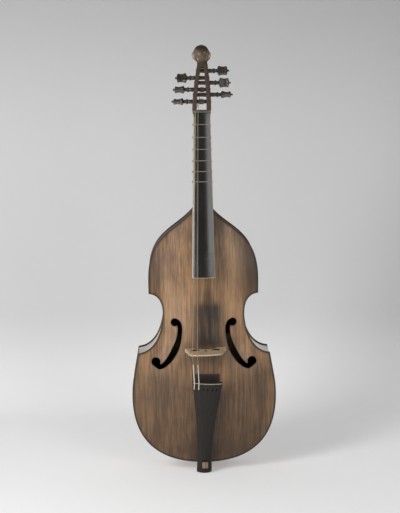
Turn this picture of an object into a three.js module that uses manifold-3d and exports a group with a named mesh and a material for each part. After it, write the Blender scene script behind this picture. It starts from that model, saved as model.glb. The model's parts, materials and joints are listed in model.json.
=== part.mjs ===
// A bass viola da gamba, upright, with six pegs, six tied frets and its two lowest strings.
// Millimetres, +Z up along the neck, -Y the side of the strings, +X the treble side.
// The origin is on the centre line, on the underside of the hook bar, in the plane in
// which the belly is glued to the ribs.

import * as THREE from "three";
import { mergeVertices } from "three/addons/utils/BufferGeometryUtils.js";
import Module from "manifold-3d";

const wasm = await Module();
wasm.setup();

// Fits, cuts and how finely the plates, the fingerboard and the neck are divided
const seatGap = 0.3;
const overrun = 8;
const plateColumns = 14;
const boardSteps = 8;
const neckSteps = 11;
const weldDistance = 1e-4;

// Outline of the belly and the back, right half
const outline = {
  bottomZ: 22.5,
  lowerHalfWidth: 198,
  lowerZ: 210,
  lowerCornerX: 182,
  lowerCornerZ: 328.5,
  waistHalfWidth: 112,
  waistZ: 437,
  upperCornerX: 150.5,
  upperCornerZ: 493,
  upperHalfWidth: 151,
  upperZ: 530,
  topHalfWidth: 26,
  topZ: 725,
  tailFlat: 8,
};

// Handles of each bout's curve, as shares of the way from its start to its end
const boutShares = {
  tail: [[0.747, 0], [1, 0.445]],
  hip: [[0, 0.33], [0.26, 0.41]],
  lowerHook: [[0.77, 0.03], [1, 0.68]],
  upperHook: [[0, 0.57], [0.3, 0.95]],
  shoulder: [[0, 0.667], [0.568, 0.67]],
};

const belly = { edge: 4, centre: 5, archHeight: 22, archReach: 30, edgeRound: 1.3, overhang: 2.5 };
const back = { thickness: 4, ribDepth: 115, heelDepth: 70, foldZ: 585 };
const rib = { thickness: 2.2 };

// C-shaped sound hole in the right half, opening outward
const soundHole = {
  innerX: 59.3,
  outerX: 144.3,
  bottomZ: 285.8,
  topZ: 426,
  upperEyeRadius: 11,
  upperEyeX: 79,
  lowerEyeRadius: 12.3,
  lowerEyeZ: 305.5,
};
const outerSideShares = [
  [0.144, 0.765], [0.19, 0.605], [0.316, 0.425], [0.488, 0.231], [0.648, 0.113],
];
const innerSideShares = [
  [0.785, 0.004], [0.69, 0], [0.51, 0.058], [0.282, 0.203],
  [0.095, 0.412], [0.018, 0.636], [0, 0.815], [0.055, 0.936],
];

// Pieces inside the sound box
const bassBar = { x: -36, width: 8, depth: 18, endDepth: 3, bottomZ: 180, topZ: 610 };
const soundpost = { x: 38, z: 322, radius: 5 };
const postPlate = { thickness: 3, height: 80, halfWidth: 120 };
const brace = { depth: 12, height: 16 };
const braceZs = [150, 455, 585];
const tailBlock = { halfWidth: 38, height: 26 };
const neckBlock = { halfWidth: 46, height: 42 };
const cornerBlock = { reach: 34, width: 26 };

// Strings, nut and fingerboard. The string plane is where the strings' centre lines run.
const stringPlane = { nutY: 0, nutSpacing: 6.7, bridgeSpacing: 13 };
const stringRadii = [0.9, 0.7, 0.6, 0.5, 0.4, 0.35];
const wrapRadii = [1.6, 1.4, 1.1, 0.9, 0.8, 0.7];
const stringCount = 6;
const wrapStartZ = 314;
const nut = { height: 4.4, halfWidth: 25, crown: 3.5 };
const board = {
  overBelly: 182,
  endHalfWidth: 31.5,
  slimHalfWidth: 23.3,
  flareLength: 14,
  nutAction: 2.4,
  endAction: 7.5,
  nutThickness: 9,
  endThickness: 13,
  endCrown: 5.5,
};

const neck = { length: 262.6, heelLength: 67, topDepth: 18, lowDepth: 25, heelPower: 2.4, backPower: 0.75 };

const fret = { radius: 0.6, scale: 650, count: 6, sides: 5 };

// Pegbox, measured along itself from the neck's end and back from its front face
const box = {
  lean: 20,
  length: 137,
  bottomHalfWidth: 26,
  topHalfWidth: 14.3,
  topShift: 4,
  sidePower: 1.7,
  cheekBottom: 12.5,
  cheekTop: 10.6,
  openingBottom: 3.5,
  topWall: 7.5,
  bulgeDepth: 34,
  bulgeAt: 42,
  topDepth: 24,
};

// Six tapered pegs, each with a collar, a narrow neck and a flat waisted head. From the lowest
// to the highest: how far up the pegbox they sit, and how much deeper than collarAt they go in
const pegAtShares = [0.2350365, 0.37810219, 0.48905109, 0.63138686, 0.73722628, 0.88759124];
const pegPush = { left3: 3.3, right3: 0, left2: 3.4, right2: 2.6, left1: 5.6, right1: 3.1 };
const peg = {
  depth: 14,
  nearRadius: 5.9,
  farRadius: 5,
  farEnd: 1.2,
  collarAt: 16.8,
  collarLength: 5,
  collarRadius: 7.2,
  neckRadius: 3.9,
  neckLength: 5,
  headLength: 30,
  headHalfHeight: 14,
  headInnerHalfThickness: 7.6,
  headWaistHalfThickness: 4,
  headOuterHalfThickness: 6,
  knobRadius: 2.8,
  knobLength: 4.5,
};
const headOutlineShares = [
  [0, 0.3], [0.1, 0.7], [0.2, 1], [0.32, 0.86], [0.52, 0.78],
  [0.76, 0.84], [0.88, 0.9], [0.97, 0.6], [1, 0.3],
];

// Turns of the two strings round their pegs
const winding = { turns: 5, pitchGap: 0.6, steps: 24, sides: 6 };
const windingStartXs = [-7, -4];

// The peg that each of these strings goes to, and how far a string's centre lies above its notch
const stringPegs = [0, 2];
const restShare = 0.3;

// Carved head on top of the pegbox
const finial = {
  height: 52,
  baseHalfWidth: 14.3,
  baseHalfDepth: 12.5,
  jawHalfWidth: 17,
  domeHalfWidth: 19.4,
  domeHalfDepth: 21.6,
  forward: 6,
  sideLean: 2.6,
  curlReach: 6.8,
  browRise: 1.3,
  socketDip: 1.8,
  noseRise: 4.2,
  moustacheRise: 2,
  beardRise: 3.2,
  hairRise: 1.6,
};

const bridge = {
  x: 4,
  z: 341,
  turn: 1.5,
  height: 85,
  topCrown: 9,
  footHalfSpan: 56.5,
  footWidth: 25,
  topHalfWidth: 42,
  archHeight: 17,
  footThickness: 9,
  topThickness: 3.6,
};
const bridgeSideShares = [
  [1, 0.09], [0.93, 0.13], [0.87, 0.27], [0.92, 0.36], [0.86, 0.43], [0.79, 0.6], [0.84, 0.7],
];

const bridgeEyeShares = [
  [0.27, 0.4], [0.32, 0.27], [0.46, 0.16], [0.62, 0.2], [0.7, 0.3], [0.62, 0.42], [0.46, 0.36],
];
const bridgeDropShares = [
  [0, 0.34], [0.05, 0.38], [0.07, 0.43], [0.05, 0.49], [0, 0.46], [-0.05, 0.49], [-0.07, 0.43], [-0.05, 0.38],
];

const tailpiece = {
  skew: 2.5,
  lean: 8,
  bottomX: -3.5,
  bottomY: -36,
  bottomZ: 0.6,
  saddleAt: 259,
  cornerRound: 1.5,
  bottomHalfWidth: 19.5,
  waistHalfWidth: 19.3,
  middleHalfWidth: 25.4,
  wideHalfWidth: 41,
  edgeThickness: 6,
  crown: 8,
  holeAt: 240,
  holeSpacing: 12.3,
  holeShift: -4.7,
};
const saddle = { width: 2, depth: 6, proud: 1.2, halfWidth: 39.5 };

const hookBar = {
  halfWidth: 19,
  frontY: -17,
  tenonHalfWidth: 8.5,
  tenonBottomZ: 15.3,
  tenonTopZ: 32,
  tenonProud: 3,
  slotArchRise: 6,
  slotSide: 1,
};

const woods = {
  belly: new THREE.MeshStandardMaterial({ color: 0x9a6a3c, roughness: 0.42, metalness: 0 }),
  body: new THREE.MeshStandardMaterial({ color: 0x7b4c28, roughness: 0.38, metalness: 0 }),
  inside: new THREE.MeshStandardMaterial({ color: 0xc9a777, roughness: 0.8, metalness: 0 }),
  neck: new THREE.MeshStandardMaterial({ color: 0x5d3a20, roughness: 0.45, metalness: 0 }),
  dark: new THREE.MeshStandardMaterial({ color: 0x241a14, roughness: 0.3, metalness: 0 }),
  bridge: new THREE.MeshStandardMaterial({ color: 0xb48a58, roughness: 0.55, metalness: 0 }),
  peg: new THREE.MeshStandardMaterial({ color: 0x4a3222, roughness: 0.4, metalness: 0 }),
};
const bone = new THREE.MeshStandardMaterial({ color: 0xb9ae96, roughness: 0.5, metalness: 0 });
const gut = new THREE.MeshStandardMaterial({ color: 0xc8b48c, roughness: 0.5, metalness: 0 });

const xAxis = new THREE.Vector3(1, 0, 0);
const yAxis = new THREE.Vector3(0, 1, 0);
const zAxis = new THREE.Vector3(0, 0, 1);
const point = (x, y, z) => new THREE.Vector3(x, y, z);
const flatPoint = (x, y) => new THREE.Vector2(x, y);
const mix = THREE.MathUtils.lerp;
const share = (value, from, to) => THREE.MathUtils.clamp((value - from) / (to - from), 0, 1);

// Axes for a prism: its outline lies in the first two, and its length runs along the third
const alongX = new THREE.Matrix4().makeBasis(yAxis, zAxis, xAxis);
const alongY = new THREE.Matrix4().makeBasis(xAxis, zAxis, yAxis);
const alongZ = new THREE.Matrix4();

// A closed solid from corners and triangles, turned to face outward
function solidFromFaces(positions, faces) {
  const build = (order) =>
    new wasm.Manifold(
      new wasm.Mesh({
        numProp: 3,
        vertProperties: Float32Array.from(positions),
        triVerts: Uint32Array.from(order),
      }),
    );
  const made = build(faces);
  return made.volume() < 0 ? build(Array.from(faces).reverse()) : made;
}

function solidOf(geometry) {
  const bare = geometry.clone();
  bare.deleteAttribute("normal");
  bare.deleteAttribute("uv");
  const merged = mergeVertices(bare, weldDistance);
  return solidFromFaces(merged.attributes.position.array, merged.index.array);
}

// A straight solid with the given outline, between two places on its axis
function prism(points, axes, from, to) {
  const geometry = new THREE.ExtrudeGeometry(new THREE.Shape(points), {
    depth: to - from,
    bevelEnabled: false,
  });
  geometry.translate(0, 0, from);
  geometry.applyMatrix4(axes);
  return solidOf(geometry);
}

function block([x0, x1], [y0, y1], [z0, z1]) {
  const geometry = new THREE.BoxGeometry(x1 - x0, y1 - y0, z1 - z0);
  geometry.translate((x0 + x1) / 2, (y0 + y1) / 2, (z0 + z1) / 2);
  return solidOf(geometry);
}

// A skin through rings of equally many points. An open loft's end rings are closed by
// triangles between the points that lie opposite each other.
function loft(rings, closed = false) {
  const sides = rings[0].length;
  const faces = [];
  const quad = (a, b, c, d) => faces.push(a, b, c, a, c, d);
  const spans = closed ? rings.length : rings.length - 1;
  for (let i = 0; i < spans; i++) {
    const here = i * sides;
    const there = ((i + 1) % rings.length) * sides;
    for (let j = 0; j < sides; j++) {
      const next = (j + 1) % sides;
      quad(here + j, here + next, there + next, there + j);
    }
  }
  if (!closed) {
    const last = (rings.length - 1) * sides;
    for (let j = 0; j < Math.ceil(sides / 2) - 1; j++) {
      const far = sides - 1 - j;
      const lone = far - 1 === j + 1;
      faces.push(j, far, j + 1, last + j, last + j + 1, last + far);
      if (!lone) faces.push(j + 1, far, far - 1, last + j + 1, last + far - 1, last + far);
    }
  }
  return solidFromFaces(rings.flat().flatMap((p) => p.toArray()), faces);
}

// A round tube through points, whose rings are set out from one reference direction
function tube(points, radii, sides, reference, closed = false) {
  const count = points.length;
  const rings = points.map((centre, i) => {
    const before = points[closed ? (i + count - 1) % count : Math.max(i - 1, 0)];
    const after = points[closed ? (i + 1) % count : Math.min(i + 1, count - 1)];
    const direction = after.clone().sub(before).normalize();
    const outward = direction.clone().cross(reference).normalize();
    const upward = outward.clone().cross(direction);
    return Array.from({ length: sides }, (_, j) => {
      const turn = (2 * Math.PI * j) / sides;
      return centre
        .clone()
        .addScaledVector(outward, radii[i] * Math.cos(turn))
        .addScaledVector(upward, radii[i] * Math.sin(turn));
    });
  });
  return loft(rings, closed);
}

// A turned solid on the X axis, from pairs of place and radius
function turned(profile, segments) {
  const points = profile.map(([x, radius]) => flatPoint(radius, x));
  const geometry = new THREE.LatheGeometry(
    [flatPoint(0, points[0].y), ...points, flatPoint(0, points.at(-1).y)],
    segments,
  );
  geometry.applyMatrix4(new THREE.Matrix4().makeBasis(yAxis, xAxis, zAxis));
  return solidOf(geometry);
}

function moved(solid, matrix) {
  const { vertProperties, triVerts } = solid.getMesh();
  const geometry = new THREE.BufferGeometry();
  geometry.setAttribute("position", new THREE.BufferAttribute(vertProperties.slice(), 3));
  geometry.setIndex(new THREE.BufferAttribute(triVerts.slice(), 1));
  geometry.applyMatrix4(matrix);
  return solidFromFaces(geometry.attributes.position.array, geometry.index.array);
}

const instrument = new THREE.Group();

function addPiece(name, solid, finish, parent = instrument) {
  const { vertProperties, triVerts } = solid.getMesh();
  const indexed = new THREE.BufferGeometry();
  indexed.setAttribute("position", new THREE.BufferAttribute(vertProperties, 3));
  indexed.setIndex(new THREE.BufferAttribute(triVerts, 1));
  const geometry = indexed.toNonIndexed();
  geometry.computeVertexNormals();
  const piece = new THREE.Mesh(geometry, finish);
  piece.name = name;
  parent.add(piece);
  return piece;
}

// Outline of the body

function boutCurve(start, end, handles) {
  const at = ([shareX, shareZ]) =>
    flatPoint(mix(start.x, end.x, shareX), mix(start.y, end.y, shareZ));
  return new THREE.CubicBezierCurve(start, at(handles[0]), at(handles[1]), end);
}

const tailPoint = flatPoint(0, outline.bottomZ);
const hipPoint = flatPoint(outline.lowerHalfWidth, outline.lowerZ);
const lowerCorner = flatPoint(outline.lowerCornerX, outline.lowerCornerZ);
const waistPoint = flatPoint(outline.waistHalfWidth, outline.waistZ);
const upperCorner = flatPoint(outline.upperCornerX, outline.upperCornerZ);
const shoulderPoint = flatPoint(outline.upperHalfWidth, outline.upperZ);
const topPoint = flatPoint(outline.topHalfWidth, outline.topZ);

// Each bout is a run of curves with the number of steps that each one takes
const lowerBout = [
  [boutCurve(tailPoint, hipPoint, boutShares.tail), 12],
  [boutCurve(hipPoint, lowerCorner, boutShares.hip), 5],
];
const centreBout = [
  [boutCurve(lowerCorner, waistPoint, boutShares.lowerHook), 9],
  [boutCurve(waistPoint, upperCorner, boutShares.upperHook), 8],
];
const upperBout = [
  [new THREE.LineCurve(upperCorner, shoulderPoint), 1],
  [boutCurve(shoulderPoint, topPoint, boutShares.shoulder), 12],
];

// Points of a bout moved square to the curve, towards the inside of the body
function boutPoints(bout, inset) {
  return bout.flatMap(([curve, steps], part) => {
    const first = part === 0 ? 0 : 1;
    return Array.from({ length: steps + 1 - first }, (_, i) => {
      const t = (i + first) / steps;
      const tangent = curve.getTangent(t);
      const spot = curve.getPoint(t);
      return flatPoint(spot.x - tangent.y * inset, spot.y + tangent.x * inset);
    });
  });
}

// The right half of the outline from tail to neck, drawn in by an inset
function rightEdge(inset) {
  const low = flatPoint(lowerCorner.x - inset, lowerCorner.y - inset);
  const high = flatPoint(upperCorner.x - inset, upperCorner.y + inset);
  const lower = boutPoints(lowerBout, inset).filter((p) => p.y < low.y);
  const [tail, next] = lower;
  lower[0] = flatPoint(outline.tailFlat, mix(tail.y, next.y, outline.tailFlat / next.x));
  const centre = boutPoints(centreBout, inset).filter(
    (p) => p.x < (p.y < waistPoint.y ? low.x : high.x) && p.y > low.y && p.y < high.y,
  );
  const upper = boutPoints(upperBout, inset).filter((p) => p.y > high.y);
  const last = upper.at(-1);
  const slope = upperBout[1][0].getTangent(1);
  if (last.y < topPoint.y) {
    upper.push(flatPoint(last.x + ((topPoint.y - last.y) * slope.x) / slope.y, topPoint.y));
  }
  return [...lower, low, ...centre, high, ...upper];
}

const bellyEdge = rightEdge(0);

function halfWidthAt(z) {
  const i = Math.max(bellyEdge.findIndex((p) => p.y >= z), 1);
  const [a, b] = [bellyEdge[i - 1], bellyEdge[i]];
  return mix(a.x, b.x, share(z, a.y, b.y));
}

// The width that the arch follows: the least one near the waist, evened out over the same
// reach, so that the arch runs smoothly past the corners
const reachShares = [-1, -0.5, 0, 0.5, 1];

function leastWidthAt(z) {
  const near = reachShares.map((s) =>
    halfWidthAt(THREE.MathUtils.clamp(z + s * belly.archReach, outline.lowerZ, outline.upperZ)),
  );
  return Math.min(halfWidthAt(z), ...near);
}

function archWidthAt(z) {
  const widths = reachShares.map((s) => leastWidthAt(Math.min(z + s * belly.archReach, outline.topZ)));
  return widths.reduce((sum, width) => sum + width / widths.length, 0);
}

function archAt(x, z) {
  const along = 2 * share(z, outline.bottomZ, outline.topZ) - 1;
  const across = Math.min(Math.abs(x) / archWidthAt(z), 1);
  return belly.archHeight * (1 - along ** 4) ** 1.3 * (1 - across ** 2) ** 1.6;
}

const bellyFrontY = (x, z) => -belly.edge - archAt(x, z);
const hollowShare = 1 - (belly.centre - belly.edge) / belly.archHeight;
const bellyInnerY = (x, z) => -archAt(x, z) * hollowShare;
const backInnerY = (z) => mix(back.ribDepth, back.heelDepth, share(z, back.foldZ, outline.topZ));

// A plate or a filling whose rows follow an edge, between a front and a back surface
const columnShares = Array.from({ length: plateColumns + 1 }, (_, i) =>
  Math.sin((Math.PI / 2) * ((2 * i) / plateColumns - 1)),
);

function sheet(edge, frontY, backY, round) {
  const rings = edge.map(({ x: halfWidth, y: z }) => {
    const inner = halfWidth - round;
    const xs = [-halfWidth, ...columnShares.map((s) => s * inner), halfWidth];
    const front = xs.map((x) => {
      const drop = Math.abs(x) === halfWidth ? round : 0;
      return point(x, frontY(x, z) + drop, z);
    });
    const rear = xs.map((x) => point(x, backY(x, z), z)).reverse();
    return [...front, ...rear];
  });
  return loft(rings);
}

function arcPoints(centre, radius, fromDegrees, toDegrees, steps) {
  return Array.from({ length: steps + 1 }, (_, i) => {
    const angle = THREE.MathUtils.degToRad(mix(fromDegrees, toDegrees, i / steps));
    return flatPoint(centre.x + radius * Math.cos(angle), centre.y + radius * Math.sin(angle));
  });
}

function soundHolePoints() {
  const { innerX, outerX, bottomZ, topZ, upperEyeRadius, lowerEyeRadius } = soundHole;
  const at = ([shareX, shareZ]) => flatPoint(mix(innerX, outerX, shareX), mix(bottomZ, topZ, shareZ));
  const upperEye = flatPoint(soundHole.upperEyeX, topZ - upperEyeRadius);
  const lowerEye = flatPoint(outerX - lowerEyeRadius, soundHole.lowerEyeZ);
  const lowerArc = arcPoints(lowerEye, lowerEyeRadius, 205, -60, 11);
  const upperArc = arcPoints(upperEye, upperEyeRadius, 117, -125, 10);
  const outerSide = new THREE.SplineCurve([upperArc.at(-1), ...outerSideShares.map(at), lowerArc[0]]);
  const innerSide = new THREE.SplineCurve([lowerArc.at(-1), ...innerSideShares.map(at), upperArc[0]]);
  return [
    ...outerSide.getPoints(12).slice(1),
    ...lowerArc.slice(1),
    ...innerSide.getPoints(18).slice(1),
    ...upperArc.slice(1),
  ];
}

const mirrored = (points, side) => points.map((p) => flatPoint(p.x * side, p.y));

function makeBelly() {
  let plate = sheet(bellyEdge, bellyFrontY, bellyInnerY, belly.edgeRound);
  for (const side of [-1, 1]) {
    const hole = prism(
      mirrored(soundHolePoints(), side),
      alongY,
      -belly.edge - belly.archHeight - overrun,
      overrun,
    );
    plate = plate.subtract(hole);
  }
  return plate;
}

// The side profile of the back, bent forward above the fold
const backProfile = (shift) => [
  flatPoint(back.ribDepth + shift, outline.bottomZ - overrun),
  flatPoint(back.ribDepth + shift, back.foldZ),
  flatPoint(back.heelDepth + shift, outline.topZ),
];

function makeBack() {
  const reach = outline.lowerHalfWidth + overrun;
  const slab = prism(
    [...backProfile(0), ...backProfile(back.thickness).reverse()],
    alongX,
    -reach,
    reach,
  );
  const full = [...mirrored(bellyEdge, -1).reverse(), ...bellyEdge];
  const plate = prism(full, alongY, back.heelDepth - overrun, back.ribDepth + back.thickness + overrun);
  return plate.intersect(slab);
}

const ribInset = belly.overhang + rib.thickness;

function makeRib(bout, side, cuts) {
  const outer = boutPoints(bout, belly.overhang);
  const inner = boutPoints(bout, ribInset).reverse();
  const strip = prism(mirrored([...outer, ...inner], side), alongY, seatGap, back.ribDepth + overrun);
  const reach = outline.lowerHalfWidth + overrun;
  const space = prism(
    [
      flatPoint(seatGap, outline.bottomZ - overrun),
      ...backProfile(-seatGap),
      flatPoint(seatGap, outline.topZ),
    ],
    alongX,
    -reach,
    reach,
  );
  return cuts.reduce(
    (left, [xs, zs]) =>
      left.subtract(
        block(side > 0 ? xs : [-xs[1], -xs[0]], [-overrun, back.ribDepth + overrun], zs),
      ),
    strip.intersect(space),
  );
}

function addRibs() {
  const farX = outline.lowerHalfWidth + overrun;
  const lowZ = outline.bottomZ - overrun;
  const jointZ = ribInset + seatGap;
  const allZ = [lowZ, outline.topZ + overrun];
  const lowerCuts = [
    [[-overrun, seatGap / 2], allZ],
    [[0, farX], [outline.lowerCornerZ - jointZ, outline.topZ]],
  ];
  const centreCuts = [
    [[outline.lowerCornerX - belly.overhang, farX], allZ],
    [[outline.upperCornerX - belly.overhang, farX], [outline.waistZ, outline.topZ]],
  ];
  const upperCuts = [[[0, farX], [lowZ, outline.upperCornerZ + jointZ]]];
  for (const [sideName, side] of [["left", -1], ["right", 1]]) {
    addPiece(`rib_lower_${sideName}`, makeRib(lowerBout, side, lowerCuts), woods.body);
    addPiece(`rib_centre_${sideName}`, makeRib(centreBout, side, centreCuts), woods.body);
    addPiece(`rib_upper_${sideName}`, makeRib(upperBout, side, upperCuts), woods.body);
  }
}

// Inside the sound box, every block and bar is cut to the space that is left there

function addInside() {
  const allY = [-belly.archHeight - overrun, back.ribDepth + overrun];
  const around = rightEdge(ribInset + seatGap);
  const walls = prism([...mirrored(around, -1).reverse(), ...around], alongY, ...allY);
  const above = sheet(
    bellyEdge,
    () => allY[0] - overrun,
    (x, z) => bellyInnerY(x, z) + seatGap,
    belly.edgeRound,
  );
  const lowFront = flatPoint(allY[0], outline.bottomZ - overrun);
  const room = [lowFront, ...backProfile(-seatGap), flatPoint(allY[0], outline.topZ)];
  const reach = outline.lowerHalfWidth + overrun;
  const cavity = walls.intersect(prism(room, alongX, -reach, reach)).subtract(above);
  const allX = [-outline.lowerHalfWidth, outline.lowerHalfWidth];
  const plateFrontY = back.ribDepth - seatGap - postPlate.thickness;
  const fill = (name, solid) => addPiece(name, solid.intersect(cavity), woods.inside);

  fill("tail_block", block(
    [-tailBlock.halfWidth, tailBlock.halfWidth],
    allY,
    [outline.bottomZ, outline.bottomZ + tailBlock.height],
  ));
  fill("neck_block", block(
    [-neckBlock.halfWidth, neckBlock.halfWidth],
    allY,
    [outline.topZ - neckBlock.height, outline.topZ],
  ));
  fill("soundpost_plate", block(
    [-postPlate.halfWidth, postPlate.halfWidth],
    [plateFrontY, back.ribDepth],
    [soundpost.z - postPlate.height / 2, soundpost.z + postPlate.height / 2],
  ));
  const post = turned(
    [[plateFrontY - seatGap, soundpost.radius], [-belly.archHeight, soundpost.radius]],
    16,
  );
  const upright = new THREE.Matrix4()
    .makeTranslation(soundpost.x, 0, soundpost.z)
    .multiply(new THREE.Matrix4().makeRotationZ(Math.PI / 2));
  fill("soundpost", moved(post, upright));

  const barDepth = (z) => {
    const end = Math.min(z - bassBar.bottomZ, bassBar.topZ - z);
    const reach = share(end, 0, (bassBar.topZ - bassBar.bottomZ) / 2);
    return mix(bassBar.endDepth, bassBar.depth, Math.sqrt(reach));
  };
  const steps = 12;
  const barLine = Array.from({ length: steps + 1 }, (_, i) => {
    const z = mix(bassBar.bottomZ, bassBar.topZ, i / steps);
    return flatPoint(bellyInnerY(bassBar.x, z) + barDepth(z), z);
  });
  const barFront = -belly.archHeight - overrun;
  fill("bass_bar", prism(
    [flatPoint(barFront, bassBar.bottomZ), ...barLine, flatPoint(barFront, bassBar.topZ)],
    alongX,
    bassBar.x - bassBar.width / 2,
    bassBar.x + bassBar.width / 2,
  ));

  braceZs.forEach((z, i) => {
    const backY = backInnerY(z);
    const bar = block(allX, [backY - brace.depth, backY], [z - brace.height / 2, z + brace.height / 2]);
    fill(`back_brace_${i + 1}`, bar);
  });

  for (const [sideName, side] of [["left", -1], ["right", 1]]) {
    for (const [levelName, corner, away] of [["lower", lowerCorner, -1], ["upper", upperCorner, 1]]) {
      const wedge = [
        flatPoint(corner.x, corner.y),
        flatPoint(corner.x - cornerBlock.reach, corner.y),
        flatPoint(corner.x - cornerBlock.width / 2, corner.y + away * cornerBlock.reach),
        flatPoint(corner.x, corner.y + away * cornerBlock.reach),
      ];
      fill(`corner_block_${levelName}_${sideName}`, prism(mirrored(wedge, side), alongY, ...allY));
    }
  }
}

// Strings run from the pegbox over the nut and the bridge to the tailpiece

const stringOffset = (i) => i - (stringCount - 1) / 2;
const nutBottomZ = outline.topZ + neck.length;
const nutTopZ = nutBottomZ + nut.height;
const crownDrop = (x, halfWidth, crown) => crown * (x / halfWidth) ** 2;
const bridgeCrownY = bellyFrontY(bridge.x, bridge.z) - bridge.height;

function bridgeTopY(x) {
  return bridgeCrownY + crownDrop(x - bridge.x, bridge.topHalfWidth, bridge.topCrown);
}

const nutTopY = (x) => stringPlane.nutY + crownDrop(x, nut.halfWidth, nut.crown);

// Fingerboard and neck share their front line, which leans back towards the nut

const stringYAt = (z) => mix(bridgeCrownY, stringPlane.nutY, share(z, bridge.z, nutTopZ));
const boardEndZ = outline.topZ - board.overBelly;
const boardShare = (z) => (nutBottomZ - z) / (nutBottomZ - boardEndZ);
const flareZ = nutBottomZ - board.flareLength;
const boardHalfWidth = (z) =>
  z > flareZ
    ? mix(board.slimHalfWidth, nut.halfWidth, share(z, flareZ, nutBottomZ))
    : mix(board.slimHalfWidth, board.endHalfWidth, share(z, flareZ, boardEndZ));
const boardNutY = stringYAt(nutBottomZ) + board.nutAction;
const boardEndY = stringYAt(boardEndZ) + board.endAction;
const boardTopY = (z) => mix(boardNutY, boardEndY, boardShare(z));
const boardBackY = (z) => boardTopY(z) + mix(board.nutThickness, board.endThickness, boardShare(z));
const boardCrown = (z) => mix(nut.crown, board.endCrown, boardShare(z));
const neckFrontY = (z) => boardBackY(z) + seatGap;
const neckTopZ = nutTopZ;
const neckRootZ = outline.topZ + seatGap;
const heelStartZ = outline.topZ + neck.heelLength;

function neckDepth(z) {
  const slim = mix(neck.topDepth, neck.lowDepth, share(z, neckTopZ, neckRootZ));
  const reach = back.heelDepth + back.thickness - neckFrontY(neckRootZ);
  return mix(slim, reach, share(z, heelStartZ, neckRootZ) ** neck.heelPower);
}

const backArc = Array.from({ length: neckSteps + 1 }, (_, i) => Math.PI * (1 - i / neckSteps));

function neckRing(z) {
  return backArc.map((angle) =>
    point(
      boardHalfWidth(z) * Math.cos(angle),
      neckFrontY(z) + neckDepth(z) * Math.abs(Math.sin(angle)) ** neck.backPower,
      z,
    ),
  );
}

function makeNeck() {
  const heelSteps = 9;
  const zs = [neckTopZ, nutBottomZ, flareZ, (flareZ + heelStartZ) / 2, heelStartZ];
  for (let i = 1; i <= heelSteps; i++) {
    zs.push(mix(heelStartZ, neckRootZ, Math.sin((Math.PI / 2) * (i / heelSteps))));
  }
  return loft(zs.map(neckRing));
}

const boardArcShares = Array.from({ length: boardSteps + 1 }, (_, i) => (2 * i) / boardSteps - 1);

function boardTopArc(z) {
  return boardArcShares.map((s) => point(s * boardHalfWidth(z), boardTopY(z) + boardCrown(z) * s ** 2, z));
}

function makeBoard() {
  const ring = (z) => {
    const w = boardHalfWidth(z);
    return [point(-w, boardBackY(z), z), ...boardTopArc(z), point(w, boardBackY(z), z)];
  };
  return loft([ring(nutBottomZ - seatGap), ring(flareZ), ring(boardEndZ)]);
}

function makeNut() {
  const w = nut.halfWidth;
  const baseY = boardBackY(nutBottomZ);
  const top = boardArcShares.map((s) => flatPoint(s * w, nutTopY(s * w)));
  const front = prism([flatPoint(-w, baseY), ...top, flatPoint(w, baseY)], alongZ, nutBottomZ, nutTopZ);
  return stringCuts(front);
}

// A tied fret: one loop of gut round the neck and fingerboard, square to the fingerboard
const boardSlope = (boardNutY - boardEndY) / (nutBottomZ - boardEndZ);

function makeFret(z) {
  const reachOut = fret.radius + seatGap;
  const sectionAt = (height) => [
    ...boardTopArc(height),
    ...neckRing(height).reverse(),
  ];
  const contour = sectionAt(z).map((first, i) => {
    let spot = first;
    for (let pass = 0; pass < 4; pass++) {
      spot = sectionAt(z - boardSlope * (spot.y - boardTopY(z)))[i];
    }
    return spot;
  });
  const path = contour.map((spot, i) => {
    const before = contour.at(i - 1);
    const after = contour[(i + 1) % contour.length];
    const into = flatPoint(spot.x - before.x, spot.y - before.y).normalize();
    const out = flatPoint(after.x - spot.x, after.y - spot.y).normalize();
    const normal = flatPoint(into.y + out.y, -(into.x + out.x)).normalize();
    const stretch = reachOut / Math.max(normal.dot(flatPoint(into.y, -into.x)), 0.6);
    return point(spot.x + normal.x * stretch, spot.y + normal.y * stretch, spot.z);
  });
  return tube(path, path.map(() => fret.radius), fret.sides, point(0, boardSlope, 1).normalize(), true);
}

function addFrets() {
  for (let n = 1; n <= fret.count; n++) {
    const stopped = fret.scale * (1 - 2 ** (-n / 12));
    addPiece(`fret_${n}`, makeFret(nutTopZ - stopped), gut);
  }
}

// Pegbox frame: Y runs back from its front face, Z along the box
const boxFrame = new THREE.Group();
boxFrame.position.set(0, neckFrontY(neckTopZ), neckTopZ + seatGap);
boxFrame.rotation.x = -THREE.MathUtils.degToRad(box.lean);
instrument.add(boxFrame);
instrument.updateMatrixWorld(true);

// The box narrows in a swelling line, and its middle moves to the treble side going up
const boxHalfWidth = (v) =>
  mix(box.bottomHalfWidth, box.topHalfWidth, share(v, 0, box.length) ** box.sidePower);
const boxShift = (v) => box.topShift * share(v, 0, box.length);
const cheekWidth = (v) => mix(box.cheekBottom, box.cheekTop, share(v, 0, box.length));
const openingHalfWidth = (v) => boxHalfWidth(v) - cheekWidth(v);

// Pegs alternate, and the lowest one is on the bass side
const pushes = Object.values(pegPush);
const pegPlaces = pegAtShares.map((along, i) => ({
  name: `peg_${i % 2 === 0 ? "left" : "right"}_${3 - Math.floor(i / 2)}`,
  side: i % 2 === 0 ? -1 : 1,
  v: along * box.length,
  push: pushes[i],
}));

// How far each peg is turned about its axis at rest, from the lowest to the highest
const pegTurns = [80, 70, 78, 8, -6, 0];

const shaftSides = 12;

function shaftProfile(v, clearance) {
  const half = boxHalfWidth(v);
  return [
    [-half - peg.farEnd - clearance, peg.farRadius + clearance],
    [half, peg.nearRadius + clearance],
  ];
}

function boreProfile(v) {
  const [far, near] = shaftProfile(v, seatGap);
  return [[far[0] - overrun, far[1]], far, near, [near[0] + overrun, near[1]]];
}

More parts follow.
